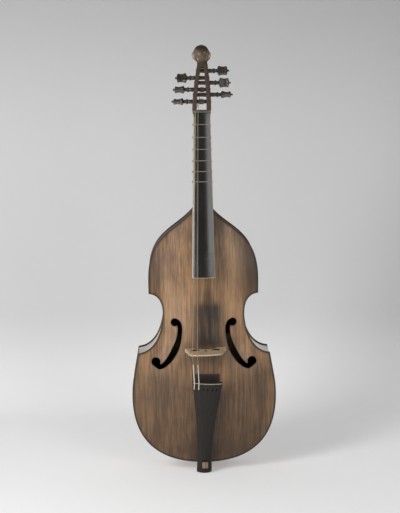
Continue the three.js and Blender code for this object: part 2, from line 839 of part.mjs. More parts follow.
function makePeg(v, push) {
  const half = boxHalfWidth(v);
  const collar = half + peg.collarAt - push;
  const afterCollar = collar + peg.collarLength;
  const headStart = afterCollar + peg.neckLength;
  const headEnd = headStart + peg.headLength;
  const shank = turned(
    [
      ...shaftProfile(v, 0),
      [collar, peg.nearRadius * 0.9],
      [collar + peg.collarLength * 0.2, peg.collarRadius],
      [afterCollar - peg.collarLength * 0.2, peg.collarRadius],
      [afterCollar, peg.neckRadius],
      [headStart, peg.neckRadius],
      [headStart + peg.neckLength, peg.neckRadius],
    ],
    shaftSides,
  );
  const knob = turned(
    [
      [headEnd - peg.knobLength, peg.knobRadius],
      [headEnd + peg.knobLength * 0.2, peg.knobRadius * 0.7],
      [headEnd + peg.knobLength * 0.6, peg.knobRadius],
      [headEnd + peg.knobLength, peg.knobRadius * 0.6],
    ],
    8,
  );
  const upper = headOutlineShares.map(([along, out]) =>
    flatPoint(headStart + along * peg.headLength, out * peg.headHalfHeight),
  );
  const lower = upper.map((p) => flatPoint(p.x, -p.y)).reverse();
  const face = prism([...lower, ...upper], alongY, -peg.headHalfHeight, peg.headHalfHeight);
  const thick = [
    [0, peg.neckRadius], [0.12, peg.headInnerHalfThickness], [0.3, peg.headInnerHalfThickness * 0.8],
    [0.6, peg.headWaistHalfThickness], [0.88, peg.headOuterHalfThickness], [1, peg.knobRadius],
  ].map(([along, out]) => flatPoint(headStart + along * peg.headLength, out));
  const thin = thick.map((p) => flatPoint(p.x, -p.y)).reverse();
  const side = prism([...thin, ...thick], alongZ, -peg.headHalfHeight, peg.headHalfHeight);
  return shank.add(face.intersect(side)).add(knob);
}

const sideSteps = 7;

function makePegbox() {
  const tilt = Math.tan(THREE.MathUtils.degToRad(box.lean));
  const bottomDepth = neck.topDepth * Math.cos(THREE.MathUtils.degToRad(box.lean));
  const topBack = flatPoint(box.topDepth, box.length + box.topDepth * tilt);
  const backCurve = new THREE.SplineCurve([
    flatPoint(bottomDepth, bottomDepth * tilt),
    flatPoint(mix(bottomDepth, box.bulgeDepth, 0.75), box.bulgeAt * 0.5),
    flatPoint(box.bulgeDepth, box.bulgeAt),
    flatPoint(mix(box.bulgeDepth, box.topDepth, 0.6), mix(box.bulgeAt, box.length, 0.6)),
    topBack,
  ]);
  const reach = box.bottomHalfWidth + overrun;
  const sideSolid = prism(
    [flatPoint(0, 0), ...backCurve.getPoints(14), flatPoint(0, box.length)],
    alongX,
    -reach,
    reach,
  );
  const heightsTo = (top) =>
    Array.from({ length: sideSteps }, (_, k) => mix(box.openingBottom, top, k / sideSteps));
  const front = [
    flatPoint(nut.halfWidth, -overrun),
    flatPoint(nut.halfWidth, 0),
    ...heightsTo(box.length).map((v) => flatPoint(boxHalfWidth(v), v)),
    flatPoint(box.topHalfWidth, box.length),
    flatPoint(box.topHalfWidth, box.length + box.topDepth),
  ];
  const throughBox = [-overrun, box.bulgeDepth + overrun];
  const bothSides = (half) => {
    const onSide = (side) => half.map((p) => flatPoint(side * p.x + boxShift(p.y), p.y));
    return prism([...onSide(-1).reverse(), ...onSide(1)], alongY, ...throughBox);
  };
  const openingTop = box.length - box.topWall;
  const topRadius = openingHalfWidth(openingTop);
  const roundStart = openingTop - topRadius;
  const hole = bothSides([
    ...heightsTo(roundStart).map((v) => flatPoint(openingHalfWidth(v), v)),
    ...arcPoints(flatPoint(0, roundStart), topRadius, 0, 90, 4).slice(0, -1),
    flatPoint(topRadius * 0.3, openingTop),
  ]);
  const frontSolid = bothSides(front);
  let solid = frontSolid.intersect(sideSolid).subtract(hole);
  for (const { v, side } of pegPlaces) {
    solid = solid.subtract(moved(turned(boreProfile(v), shaftSides), pegMatrix(v, side, 0)));
  }
  return solid;
}

function pegMatrix(v, side, degrees) {
  return new THREE.Matrix4()
    .makeTranslation(boxShift(v), peg.depth, v)
    .multiply(new THREE.Matrix4().makeRotationX(THREE.MathUtils.degToRad(degrees)))
    .multiply(new THREE.Matrix4().makeScale(side, 1, 1));
}

function addPegs() {
  pegPlaces.forEach(({ name, side, v, push }, i) => {
    const solid = makePeg(v, push);
    addPiece(name, moved(solid, pegMatrix(v, side, pegTurns[i])), woods.peg, boxFrame);
  });
}

// The line of one string, from its peg's front to the inside of its hole in the tailpiece

const tailFrame = new THREE.Group();
tailFrame.position.set(tailpiece.bottomX, tailpiece.bottomY, tailpiece.bottomZ);
tailFrame.rotation.set(THREE.MathUtils.degToRad(tailpiece.lean), THREE.MathUtils.degToRad(tailpiece.skew), 0);
tailFrame.updateMatrixWorld(true);

const tailWidths = new THREE.SplineCurve([
  flatPoint(0, tailpiece.bottomHalfWidth),
  flatPoint(tailpiece.saddleAt * 0.09, tailpiece.waistHalfWidth),
  flatPoint(tailpiece.saddleAt * 0.2, tailpiece.waistHalfWidth),
  flatPoint(tailpiece.saddleAt * 0.55, tailpiece.middleHalfWidth),
  flatPoint(tailpiece.saddleAt, tailpiece.wideHalfWidth),
]);
const tailHalfWidth = (s) => {
  const points = tailWidths.getPoints(40);
  const i = Math.max(points.findIndex((p) => p.x >= s), 1);
  return mix(points[i - 1].y, points[i].y, share(s, points[i - 1].x, points[i].x));
};
const tailTopY = (x, s) => crownDrop(x, tailHalfWidth(s), tailpiece.crown);
const tailX = (i) => tailpiece.holeShift + stringOffset(i) * tailpiece.holeSpacing;

// Where a string meets the front of its peg, coming up from the nut, in the pegbox frame
const windingPitch = (i) => 2 * stringRadii[i] + winding.pitchGap;
const nutContact = (i) => {
  const x = stringOffset(i) * stringPlane.nutSpacing;
  return point(x, nutTopY(x) - stringRadii[i] * restShare, (nutBottomZ + nutTopZ) / 2);
};

function pegTangent(i) {
  const { v } = pegPlaces[stringPegs[i]];
  const out = peg.nearRadius + seatGap + stringRadii[i];
  const centre = point(windingStartXs[i] + boxShift(v), peg.depth, v);
  const fromNut = boxFrame.worldToLocal(nutContact(i));
  const away = fromNut.clone().sub(centre).setX(0);
  const arm = away.clone().setLength(out).applyAxisAngle(xAxis, -Math.acos(out / away.length()));
  const start = centre.clone().add(arm);
  return { v, arm, start };
}

function stringLine(i) {
  const radius = stringRadii[i];
  const wrap = wrapRadii[i];
  const bridgeX = stringOffset(i) * stringPlane.bridgeSpacing;
  const overBridge = point(bridgeX, bridgeTopY(bridgeX) - radius * restShare, bridge.z);
  const x = tailX(i);
  const local = (y, s) => tailFrame.localToWorld(point(x, y, s));
  const atSaddle = local(
    tailTopY(x, tailpiece.saddleAt) - saddle.proud - wrap * restShare,
    tailpiece.saddleAt,
  );
  const overHole = local(tailTopY(x, tailpiece.holeAt) - wrap - seatGap, tailpiece.holeAt);
  const inHole = local(tailTopY(x, tailpiece.holeAt) + tailpiece.edgeThickness, tailpiece.holeAt);
  const wrapShare = share(wrapStartZ, overBridge.z, atSaddle.z);
  const wrapStart = overBridge.clone().lerp(atSaddle, wrapShare);
  const wrapFull = overBridge.clone().lerp(atSaddle, wrapShare + 0.03);
  return {
    points: [stringTop(i), nutContact(i), overBridge, wrapStart, wrapFull, atSaddle, overHole, inHole],
    radii: [radius, radius, radius, radius, wrap, wrap, wrap, wrap],
  };
}

function stringTop(i) {
  if (i >= windingStartXs.length) return nutContact(i).add(point(0, -overrun, overrun));
  return boxFrame.localToWorld(pegTangent(i).start);
}

function stringCuts(solid) {
  let cut = solid;
  for (let i = 0; i < stringCount; i++) {
    const { points, radii } = stringLine(i);
    cut = cut.subtract(tube(points, radii.map((r) => r + seatGap), 8, xAxis));
  }
  return cut;
}

// The turns of a string round its peg, after the point where it first touches
function turnsRoundPeg(i) {
  const { v, arm, start } = pegTangent(i);
  const diameter = 2 * stringRadii[i];
  const line = Array.from({ length: winding.turns * winding.steps }, (_, step) => {
    const turns = (step + 1) / winding.steps;
    return point(start.x + windingPitch(i) * turns, peg.depth, v)
      .add(arm.clone().applyAxisAngle(xAxis, -2 * Math.PI * turns));
  });
  let least = Infinity;
  line.forEach((a, j) => {
    line.slice(j + winding.steps / 2).forEach((b) => {
      least = Math.min(least, a.distanceTo(b) - diameter);
    });
  });
  console.log(`string ${i + 1}: least gap between its turns ${least.toFixed(2)} mm`);
  const onward = line.at(-1).clone().sub(line.at(-2)).setLength(diameter);
  line.push(line.at(-1).clone().add(onward));
  return line.map((spot) => boxFrame.localToWorld(spot));
}

function addStrings() {
  ["bass_string", "second_string"].forEach((name, i) => {
    const { points, radii } = stringLine(i);
    const turns = turnsRoundPeg(i).reverse();
    const line = [...turns, ...points];
    const thickness = [...turns.map(() => stringRadii[i]), ...radii];
    addPiece(name, tube(line, thickness, winding.sides, xAxis), gut);
  });
}

// Bridge, with a wavy foot line, stepped sides, two eyes and a drop-shaped hole

function makeBridge() {
  const { height, footHalfSpan, topHalfWidth, topCrown } = bridge;
  const right = [
    flatPoint(0, bridge.archHeight),
    flatPoint((footHalfSpan - bridge.footWidth) * 0.55, bridge.archHeight * 0.8),
    flatPoint((footHalfSpan - bridge.footWidth) * 0.9, bridge.archHeight * 0.3),
    flatPoint(footHalfSpan - bridge.footWidth, -overrun),
    flatPoint(footHalfSpan, -overrun),
    ...bridgeSideShares.map(([out, up]) => flatPoint(out * footHalfSpan, up * height)),
    flatPoint(topHalfWidth, height - topCrown * 1.4),
    ...[1, 0.75, 0.5, 0.25].map((s) => flatPoint(s * topHalfWidth, height - topCrown * s ** 2)),
    flatPoint(0, height),
  ];
  const left = mirrored(right.slice(1, -1), -1).reverse();
  const upTheBridge = new THREE.Matrix4().makeBasis(xAxis, point(0, -1, 0), zAxis);
  const half = bridge.footThickness / 2;
  let plate = prism([...right, ...left], upTheBridge, -half, half);
  for (const side of [-1, 1]) {
    const eye = bridgeEyeShares.map(([out, up]) => flatPoint(side * out * footHalfSpan, up * height));
    plate = plate.subtract(prism(eye, upTheBridge, -bridge.footThickness, bridge.footThickness));
  }
  const drop = bridgeDropShares.map(([out, up]) => flatPoint(out * footHalfSpan, up * height));
  plate = plate.subtract(prism(drop, upTheBridge, -bridge.footThickness, bridge.footThickness));
  const topHalf = bridge.topThickness / 2;
  const wedge = prism(
    [
      flatPoint(overrun, -half),
      flatPoint(-height * 0.15, -half),
      flatPoint(-height - overrun, -topHalf),
      flatPoint(-height - overrun, topHalf),
      flatPoint(-height * 0.15, half),
      flatPoint(overrun, half),
    ],
    alongX,
    -footHalfSpan - overrun,
    footHalfSpan + overrun,
  );
  const place = new THREE.Matrix4()
    .makeTranslation(bridge.x, bellyFrontY(bridge.x, bridge.z), bridge.z)
    .multiply(new THREE.Matrix4().makeRotationY(-THREE.MathUtils.degToRad(bridge.turn)));
  const under = sheet(bellyEdge, (x, z) => bellyFrontY(x, z) - seatGap, () => overrun, 0);
  return stringCuts(moved(plate.intersect(wedge), place).subtract(under));
}

// Tailpiece: an arched board, widest just above the saddle

function tailRing(s, halfWidth) {
  const top = boardArcShares.map((t) => point(t * halfWidth, tailpiece.crown * t ** 2, s));
  const rear = tailpiece.crown + tailpiece.edgeThickness;
  return [point(-halfWidth, rear, s), ...top, point(halfWidth, rear, s)];
}

function makeTailpiece() {
  const steps = 12;
  const rings = Array.from({ length: steps + 1 }, (_, i) => {
    const s = (tailpiece.saddleAt * i) / steps;
    return tailRing(s, tailHalfWidth(s));
  });
  const end = tailpiece.wideHalfWidth - tailpiece.cornerRound;
  rings.push(tailRing(tailpiece.saddleAt + tailpiece.cornerRound, end));
  const raw = moved(loft(rings), tailFrame.matrixWorld);
  const width = hookBar.tenonHalfWidth + hookBar.slotSide;
  const arch = arcPoints(flatPoint(0, hookBar.tenonTopZ + hookBar.slotArchRise - width), width, 0, 180, 8);
  const slotBottomZ = hookBar.tenonBottomZ - seatGap;
  const slot = prism(
    [flatPoint(width, slotBottomZ), ...arch, flatPoint(-width, slotBottomZ)],
    alongY,
    tailpiece.bottomY - belly.archHeight - overrun,
    hookBar.frontY + overrun,
  );
  const groove = moved(saddleSolid(seatGap), tailFrame.matrixWorld);
  return stringCuts(raw.subtract(slot).subtract(groove));
}

function saddleSolid(clearance) {
  const w = saddle.halfWidth + clearance;
  const top = boardArcShares.map((t) =>
    flatPoint(t * w, tailTopY(t * w, tailpiece.saddleAt) - saddle.proud - clearance),
  );
  const deep = top.map((p) => flatPoint(p.x, p.y + saddle.depth + 2 * clearance)).reverse();
  const half = saddle.width / 2 + clearance;
  const middle = tailpiece.saddleAt - saddle.width;
  return prism([...top, ...deep], alongZ, middle - half, middle + half);
}

// Hook bar under the body: its tenon stands up in front of the belly and holds the tailpiece

function makeHookBar() {
  const { halfWidth, frontY, tenonHalfWidth, tenonBottomZ, tenonTopZ, tenonProud } = hookBar;
  const plateZ = outline.bottomZ - seatGap;
  const ribZ = outline.bottomZ + belly.overhang - seatGap;
  const backY = back.ribDepth + back.thickness;
  const side = [
    flatPoint(frontY, 0),
    flatPoint(backY, 0),
    flatPoint(backY, plateZ),
    flatPoint(back.ribDepth - seatGap, plateZ),
    flatPoint(back.ribDepth - seatGap, ribZ),
    flatPoint(seatGap, ribZ),
    flatPoint(seatGap, plateZ),
    flatPoint(frontY, plateZ),
  ];
  const bar = prism(side, alongX, -halfWidth, halfWidth);
  const tenon = block(
    [-tenonHalfWidth, tenonHalfWidth],
    [tailpiece.bottomY - tailpiece.edgeThickness - tenonProud, -belly.edge - belly.archHeight / 4],
    [tenonBottomZ, tenonTopZ],
  );
  return bar.add(tenon);
}

// Carved head: rings round an upright axis, swelled by the features of hair, face and beard

function headRadius(angle, h) {
  const bump = (centreAngle, spreadAngle, centreH, spreadH) =>
    Math.exp(-(((angle - centreAngle) / spreadAngle) ** 2) - ((h - centreH) / spreadH) ** 2);
  const both = (centreAngle, spreadAngle, centreH, spreadH) =>
    bump(centreAngle, spreadAngle, centreH, spreadH) + bump(-centreAngle, spreadAngle, centreH, spreadH);
  const sidewards = Math.abs(angle);
  const hairline = share(h, 0.66, 0.72) + share(sidewards, 0.95, 1.15) * share(h, 0.1, 0.2);
  return (
    finial.browRise * both(0.3, 0.28, 0.63, 0.035) -
    finial.socketDip * both(0.36, 0.17, 0.565, 0.04) +
    finial.noseRise * bump(0, 0.12, 0.49, 0.055) +
    finial.noseRise * 0.5 * bump(0, 0.1, 0.57, 0.06) +
    finial.moustacheRise * both(0.24, 0.2, 0.385, 0.04) -
    finial.socketDip * 0.5 * bump(0, 0.28, 0.335, 0.018) +
    finial.moustacheRise * 0.5 * bump(0, 0.2, 0.3, 0.03) +
    finial.beardRise * bump(0, 0.6, 0.17, 0.1) +
    finial.curlReach * both(1.5, 0.5, 0.4, 0.15) +
    finial.hairRise * Math.min(hairline, 1)
  );
}

function makeHead() {
  const levels = 26;
  const sides = 36;
  const halfWidths = new THREE.SplineCurve([
    flatPoint(0, finial.baseHalfWidth),
    flatPoint(0.12, finial.baseHalfWidth),
    flatPoint(0.3, finial.jawHalfWidth),
    flatPoint(0.45, finial.domeHalfWidth * 0.95),
    flatPoint(0.6, finial.domeHalfWidth),
    flatPoint(0.73, finial.domeHalfWidth * 0.91),
    flatPoint(0.82, finial.domeHalfWidth * 0.78),
    flatPoint(0.9, finial.domeHalfWidth * 0.62),
    flatPoint(0.96, finial.domeHalfWidth * 0.42),
    flatPoint(1, finial.domeHalfWidth * 0.1),
  ]);
  const widthAt = (h) => {
    const points = halfWidths.getPoints(60);
    const i = Math.max(points.findIndex((p) => p.x >= h), 1);
    return mix(points[i - 1].y, points[i].y, share(h, points[i - 1].x, points[i].x));
  };
  const rings = Array.from({ length: levels + 1 }, (_, level) => {
    const h = Math.sin((Math.PI / 2) * (level / levels)) ** 1.1;
    const w = widthAt(h);
    const depth = w * mix(
      finial.baseHalfDepth / finial.baseHalfWidth,
      finial.domeHalfDepth / finial.domeHalfWidth,
      share(h, 0, 0.5),
    );
    const fade = share(h, 0, 0.1) * share(1 - h, 0, 0.12);
    const forward = finial.forward * share(h, 0, 0.35);
    return Array.from({ length: sides }, (_, j) => {
      const angle = (2 * Math.PI * (j + 0.5)) / sides - Math.PI;
      const swell = headRadius(angle, h) * fade;
      return point(
        (w + swell) * Math.sin(angle) - finial.sideLean * h,
        -forward - (depth + swell) * Math.cos(angle),
        h * finial.height,
      );
    });
  });
  return loft(rings);
}

function addHead() {
  const tilt = Math.tan(THREE.MathUtils.degToRad(box.lean));
  const middle = box.topDepth / 2;
  const seat = boxFrame.localToWorld(point(0, middle, box.length + middle * tilt));
  const headFrame = new THREE.Group();
  headFrame.position.set(box.topShift, seat.y, seat.z + seatGap);
  instrument.add(headFrame);
  addPiece("carved_head", makeHead(), woods.neck, headFrame);
}

addPiece("belly", makeBelly(), woods.belly);
addPiece("back", makeBack(), woods.body);
addRibs();
addInside();
addPiece("neck", makeNeck(), woods.neck);
addPiece("fingerboard", makeBoard(), woods.dark);
addPiece("nut", makeNut(), bone);
addFrets();
addPiece("pegbox", makePegbox(), woods.neck, boxFrame);
addPegs();
addHead();
addPiece("bridge", makeBridge(), woods.bridge);
addPiece("tailpiece", makeTailpiece(), woods.dark);
addPiece("tailpiece_saddle", stringCuts(moved(saddleSolid(0), tailFrame.matrixWorld)), bone);
addPiece("hook_bar", makeHookBar(), woods.neck);
addStrings();

export default instrument;
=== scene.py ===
import json
import logging
from dataclasses import dataclass, field
from enum import Enum
from math import acos, atan2, copysign, cos, exp, hypot, pi, radians, sin, sqrt, tan
from typing import Callable, Sequence

import bmesh
import bpy
import numpy as np
from mathutils import Matrix, Vector

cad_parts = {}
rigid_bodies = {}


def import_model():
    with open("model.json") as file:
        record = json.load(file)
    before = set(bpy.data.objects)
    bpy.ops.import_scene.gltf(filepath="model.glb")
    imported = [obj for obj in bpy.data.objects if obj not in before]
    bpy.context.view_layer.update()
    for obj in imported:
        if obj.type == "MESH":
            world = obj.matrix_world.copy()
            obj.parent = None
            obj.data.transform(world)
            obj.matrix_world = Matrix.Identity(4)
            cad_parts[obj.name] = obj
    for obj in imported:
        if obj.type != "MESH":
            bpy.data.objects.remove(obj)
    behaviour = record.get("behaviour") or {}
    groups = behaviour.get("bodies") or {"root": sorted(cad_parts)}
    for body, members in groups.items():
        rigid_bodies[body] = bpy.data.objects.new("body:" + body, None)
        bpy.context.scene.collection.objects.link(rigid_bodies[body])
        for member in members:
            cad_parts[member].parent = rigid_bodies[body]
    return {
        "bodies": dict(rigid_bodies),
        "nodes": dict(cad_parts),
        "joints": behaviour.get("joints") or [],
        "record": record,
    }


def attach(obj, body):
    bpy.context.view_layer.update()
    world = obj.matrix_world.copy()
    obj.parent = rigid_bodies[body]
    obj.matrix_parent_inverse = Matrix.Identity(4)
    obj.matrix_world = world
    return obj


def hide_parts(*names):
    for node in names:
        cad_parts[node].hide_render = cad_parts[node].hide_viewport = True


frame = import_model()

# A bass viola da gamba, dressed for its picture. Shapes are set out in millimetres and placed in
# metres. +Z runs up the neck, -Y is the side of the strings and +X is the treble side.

LOG = logging.getLogger("viola_da_gamba")
MM = 0.001
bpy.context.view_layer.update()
BODY = "instrument"
SEAT_GAP = 0.3

TURN = 2 * pi
UPRIGHT = Matrix.Rotation(pi / 2, 4, "X")
SIDEWAYS = Matrix(((0, 0, 1, 0), (1, 0, 0, 0), (0, 1, 0, 0), (0, 0, 0, 1)))

Flat = tuple[float, float]
Spot = tuple[float, float, float]
Colour = tuple[float, float, float]
Row = tuple[float, ...]
Table = tuple[Flat, ...]
Patches = tuple[tuple[Flat, Flat, float, float], ...]
Height = Callable[[float, float], float]
Inside = Callable[[float, float], bool]
Mesh = bmesh.types.BMesh
Piece = bpy.types.Object
Finish = bpy.types.Material
Socket = bpy.types.NodeSocket


class Join(Enum):
    """How one solid acts on another."""

    CUT = "DIFFERENCE"
    KEEP = "INTERSECT"
    ADD = "UNION"


class Side(Enum):
    """The two halves of the instrument, seen from the front."""

    BASS = -1
    TREBLE = 1


class Grain(Enum):
    """The direction in which the fibres of a piece of wood run."""

    ACROSS = 0
    DEEP = 1
    UPRIGHT = 2


def mix(low: float, high: float, part: float) -> float:
    """The value that lies a part of the way from low to high."""
    return low + (high - low) * part


def share(value: float, low: float, high: float) -> float:
    """How far a value lies from low to high, kept between 0 and 1."""
    return min(max((value - low) / (high - low), 0.0), 1.0)


def bezier(points: Sequence[Flat], part: float) -> tuple[np.ndarray, np.ndarray]:
    """A point of a cubic curve and its direction there.

    Args:
        points: the start, two handles and the end.
        part: how far along the curve, from 0 to 1.

    Returns:
        The point and the unit direction.
    """
    a, b, c, d = (np.array(p, float) for p in points)
    rest = 1 - part
    spot = a * rest**3 + 3 * b * part * rest**2 + 3 * c * part**2 * rest + d * part**3
    run = 3 * ((b - a) * rest**2 + 2 * (c - b) * part * rest + (d - c) * part**2)
    return spot, run / max(np.linalg.norm(run), 1e-9)


def smooth_line(points: Sequence[Flat], count: int) -> list[Flat]:
    """A smooth line through points.

    Args:
        points: the places that the line passes.
        count: how many steps the line has.

    Returns:
        count + 1 points along the line.
    """
    made = []
    last = len(points) - 1
    for step in range(count + 1):
        place = last * step / count
        i = min(int(place), last - 1)
        part = place - i
        p = [np.array(points[min(max(k, 0), last)], float) for k in (i - 1, i, i + 1, i + 2)]
        slope_in, slope_out = (p[2] - p[0]) / 2, (p[3] - p[1]) / 2
        spot = (
            (2 * part**3 - 3 * part**2 + 1) * p[1]
            + (part**3 - 2 * part**2 + part) * slope_in
            + (3 * part**2 - 2 * part**3) * p[2]
            + (part**3 - part**2) * slope_out
        )
        made.append((float(spot[0]), float(spot[1])))
    return made


def read_off(line: Sequence[Flat], place: float) -> float:
    """The height of a line of points at a place along it."""
    return float(np.interp(place, [p[0] for p in line], [p[1] for p in line]))


def round_bit(centre: Flat, radius: float, start: float, stop: float, steps: int) -> list[Flat]:
    """Points of an arc.

    Args:
        centre: the arc's centre.
        radius: its radius.
        start: the angle of its first point, in degrees.
        stop: the angle of its last point, in degrees.
        steps: how many steps it has.

    Returns:
        The points in order.
    """
    angles = [radians(mix(start, stop, k / steps)) for k in range(steps + 1)]
    return [(centre[0] + radius * cos(a), centre[1] + radius * sin(a)) for a in angles]


def row_mesh(rows: Sequence[Sequence[Vector]]) -> Mesh:
    """A sheet made from a grid whose corners are moved to the given places, row by row.

    Args:
        rows: the places of each row.

    Returns:
        The sheet.
    """
    bm = bmesh.new()
    across, along = len(rows[0]), len(rows)
    bmesh.ops.create_grid(bm, x_segments=across - 1, y_segments=along - 1, size=1.0)
    for vert in bm.verts:
        i = round((vert.co.x + 1) / 2 * (across - 1))
        j = round((vert.co.y + 1) / 2 * (along - 1))
        vert.co = rows[j][i] * MM
    return bm


def ring_mesh(rings: Sequence[Sequence[Vector]], looped: bool = False) -> Mesh:
    """A closed skin through rings of points.

    Args:
        rings: the rings, each with as many points.
        looped: whether the last ring joins the first, or both ends are capped.

    Returns:
        The skin, with its faces outward.
    """
    rows = [[*ring, ring[0]] for ring in rings]
    if looped:
        rows.append(rows[0])
    bm = row_mesh(rows)
    bmesh.ops.remove_doubles(bm, verts=bm.verts, dist=MM * 1e-3)
    bmesh.ops.holes_fill(bm, edges=[e for e in bm.edges if e.is_boundary], sides=0)
    bmesh.ops.recalc_face_normals(bm, faces=bm.faces)
    if bm.calc_volume(signed=True) < 0:
        bmesh.ops.reverse_faces(bm, faces=bm.faces)
    return bm


def slab_mesh(loops: Sequence[Sequence[Flat]], low: float, high: float) -> Mesh:
    """A flat plate with holes, drawn in X and Y and as thick as its low and high Z say.

    Args:
        loops: the outline, then the outline of each hole.
        low: the lower face.
        high: the upper face.

    Returns:
        The plate.
    """
    bm = bmesh.new()
    for loop in loops:
        verts = [bm.verts.new((x * MM, y * MM, low * MM)) for x, y in loop]
        for first, second in zip(verts, [*verts[1:], verts[0]]):
            bm.edges.new((first, second))
    bmesh.ops.triangle_fill(bm, use_beauty=True, edges=bm.edges[:])
    raised = bmesh.ops.extrude_face_region(bm, geom=bm.faces[:])
    verts = [g for g in raised["geom"] if isinstance(g, bmesh.types.BMVert)]
    bmesh.ops.translate(bm, verts=verts, vec=(0, 0, (high - low) * MM))
    bmesh.ops.dissolve_limit(bm, angle_limit=radians(0.5), verts=bm.verts, edges=bm.edges)
    bmesh.ops.recalc_face_normals(bm, faces=bm.faces)
    return bm


def ease(bm: Mesh, width: float, degrees: float = 40, segments: int = 2) -> Mesh:
    """Rounds every edge that is sharper than an angle.

    Args:
        bm: the mesh, which is changed.
        width: how wide the rounding is.
        degrees: the smallest angle that is rounded.
        segments: how many facets the rounding has.

    Returns:
        The same mesh.
    """
    limit = radians(degrees)
    sharp = [e for e in bm.edges if len(e.link_faces) == 2 and e.calc_face_angle() > limit]
    bmesh.ops.bevel(
        bm, geom=sharp, offset=width * MM, offset_type="OFFSET", segments=segments, profile=0.5,
        affect="EDGES", clamp_overlap=True, material=-1,
    )
    return bm


def joined(base: Mesh, tool: Mesh, how: Join) -> Mesh:
    """One solid cut, kept or joined by another.

    Args:
        base: the solid that is worked on.
        tool: the solid that acts on it.
        how: what it does.

    Returns:
        The new solid. The two given ones are freed.
    """
    objects = []
    for bm in (base, tool):
        data = bpy.data.meshes.new("rough")
        bm.to_mesh(data)
        bm.free()
        objects.append(placed("rough", data))
    worked, helper = objects
    modifier = worked.modifiers.new("join", "BOOLEAN")
    modifier.object = helper
    modifier.operation = how.value
    modifier.solver = "EXACT"
    bpy.context.view_layer.update()
    result = bpy.data.meshes.new_from_object(
        worked.evaluated_get(bpy.context.evaluated_depsgraph_get())
    )
    made = bmesh.new()
    made.from_mesh(result)
    bpy.data.meshes.remove(result)
    for item in objects:
        data = item.data
        bpy.data.objects.remove(item)
        bpy.data.meshes.remove(data)
    return made


def tube_mesh(path: Sequence[Vector], radii: Sequence[float], sides: int, looped: bool = False) -> Mesh:
    """A round tube along a path, whose rings are carried along without twist.

    Args:
        path: the centre line.
        radii: the radius at each of its points.
        sides: how many sides the tube has.
        looped: whether the path closes on itself.

    Returns:
        The tube.
    """
    count = len(path)
    rings = []
    outward = Vector((1, 0, 0))
    for i, centre in enumerate(path):
        before = path[(i - 1) % count] if looped else path[max(i - 1, 0)]
        after = path[(i + 1) % count] if looped else path[min(i + 1, count - 1)]
        run = (after - before).normalized()
        outward = (outward - run * outward.dot(run)).normalized()
        upward = run.cross(outward)
        turns = [TURN * k / sides for k in range(sides)]
        rings.append([centre + (outward * cos(t) + upward * sin(t)) * radii[i] for t in turns])
    return ring_mesh(rings, looped)


def moved(bm: Mesh, matrix: Matrix) -> Mesh:
    """The same mesh in another place, with its faces still outward.

    Args:
        bm: the mesh, which is changed.
        matrix: where it goes.

    Returns:
        The mesh.
    """
    bmesh.ops.transform(bm, matrix=matrix, verts=bm.verts)
    if matrix.determinant() < 0:
        bmesh.ops.recalc_face_normals(bm, faces=bm.faces)
    return bm


def in_metres(matrix: Matrix) -> Matrix:
    """Changes the unit of a matrix's shift.

    Args:
        matrix: the matrix, with its shift in millimetres.

    Returns:
        The matrix, with its shift in metres.
    """
    made = matrix.copy()
    made.translation = matrix.translation * MM
    return made


def piece_from(
    bm: Mesh,
    name: str,
    finish: Finish,
    stands_for: Sequence[str] = (),
    body: str = BODY,
    crease: float = 40,
) -> Piece:
    """A finished piece that rides on its body.

    Args:
        bm: the piece's mesh, which is freed.
        name: the piece's name.
        finish: its material.
        stands_for: the nodes that it replaces.
        body: the body that carries it.
        crease: the angle, in degrees, past which an edge stays sharp.

    Returns:
        The piece.
    """
    data = bpy.data.meshes.new(name)
    bm.to_mesh(data)
    bm.free()
    data.shade_smooth()
    data.set_sharp_from_angle(angle=radians(crease))
    data.materials.append(finish)
    piece = placed(name, data)
    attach(piece, body)
    if stands_for:
        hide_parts(*stands_for)
    LOG.info("%s: %d faces", name, len(data.polygons))
    return piece


def note_distance(piece: Piece, name: str, loops: Sequence[Sequence[Flat]], reach: float) -> None:
    """Writes on each corner of a piece how far it lies, seen from the front, from some outlines.

    Args:
        piece: the piece.
        name: the attribute's name.
        loops: the outlines, in X and Z.
        reach: the distance, in millimetres, past which all corners count alike.
    """
    data = piece.data
    spots = np.zeros(len(data.vertices) * 3)
    data.vertices.foreach_get("co", spots)
    spots = spots.reshape(-1, 3)[:, (0, 2)] / MM
    nearest = np.full(len(spots), reach, float)
    for loop in loops:
        line = np.array([*loop, loop[0]])
        for start, stop in zip(line[:-1], line[1:]):
            run = stop - start
            length = max(float(run @ run), 1e-9)
            part = np.clip((spots - start) @ run / length, 0, 1)
            nearest = np.minimum(nearest, np.linalg.norm(spots - start - part[:, None] * run, axis=1))
    layer = data.attributes.new(name, "FLOAT", "POINT")
    layer.data.foreach_set("value", nearest.astype(np.float32))


def note_values(piece: Piece, name: str, measure: Callable[[Vector], float]) -> None:
    """Writes a number on each corner of a piece.

    Args:
        piece: the piece.
        name: the attribute's name.
        measure: the number at a place, which is given in millimetres.
    """
    values = [measure(vert.co / MM) for vert in piece.data.vertices]
    piece.data.attributes.new(name, "FLOAT", "POINT").data.foreach_set("value", values)


def line_faces(piece: Piece, finish: Finish, chosen: Callable[[Vector, Vector], bool]) -> None:
    """Gives some faces of a piece another finish.

    Args:
        piece: the piece.
        finish: the other finish.
        chosen: whether a face takes it, from its middle in millimetres and its normal.
    """
    data = piece.data
    data.materials.append(finish)
    for face in data.polygons:
        if chosen(face.center / MM, face.normal):
            face.material_index = len(data.materials) - 1


def placed(name: str, data: object) -> Piece:
    """Stands a new object in the scene.

    Args:
        name: the object's name.
        data: what it holds.

    Returns:
        The object.
    """
    item = bpy.data.objects.new(name, data)
    bpy.context.scene.collection.objects.link(item)
    return item


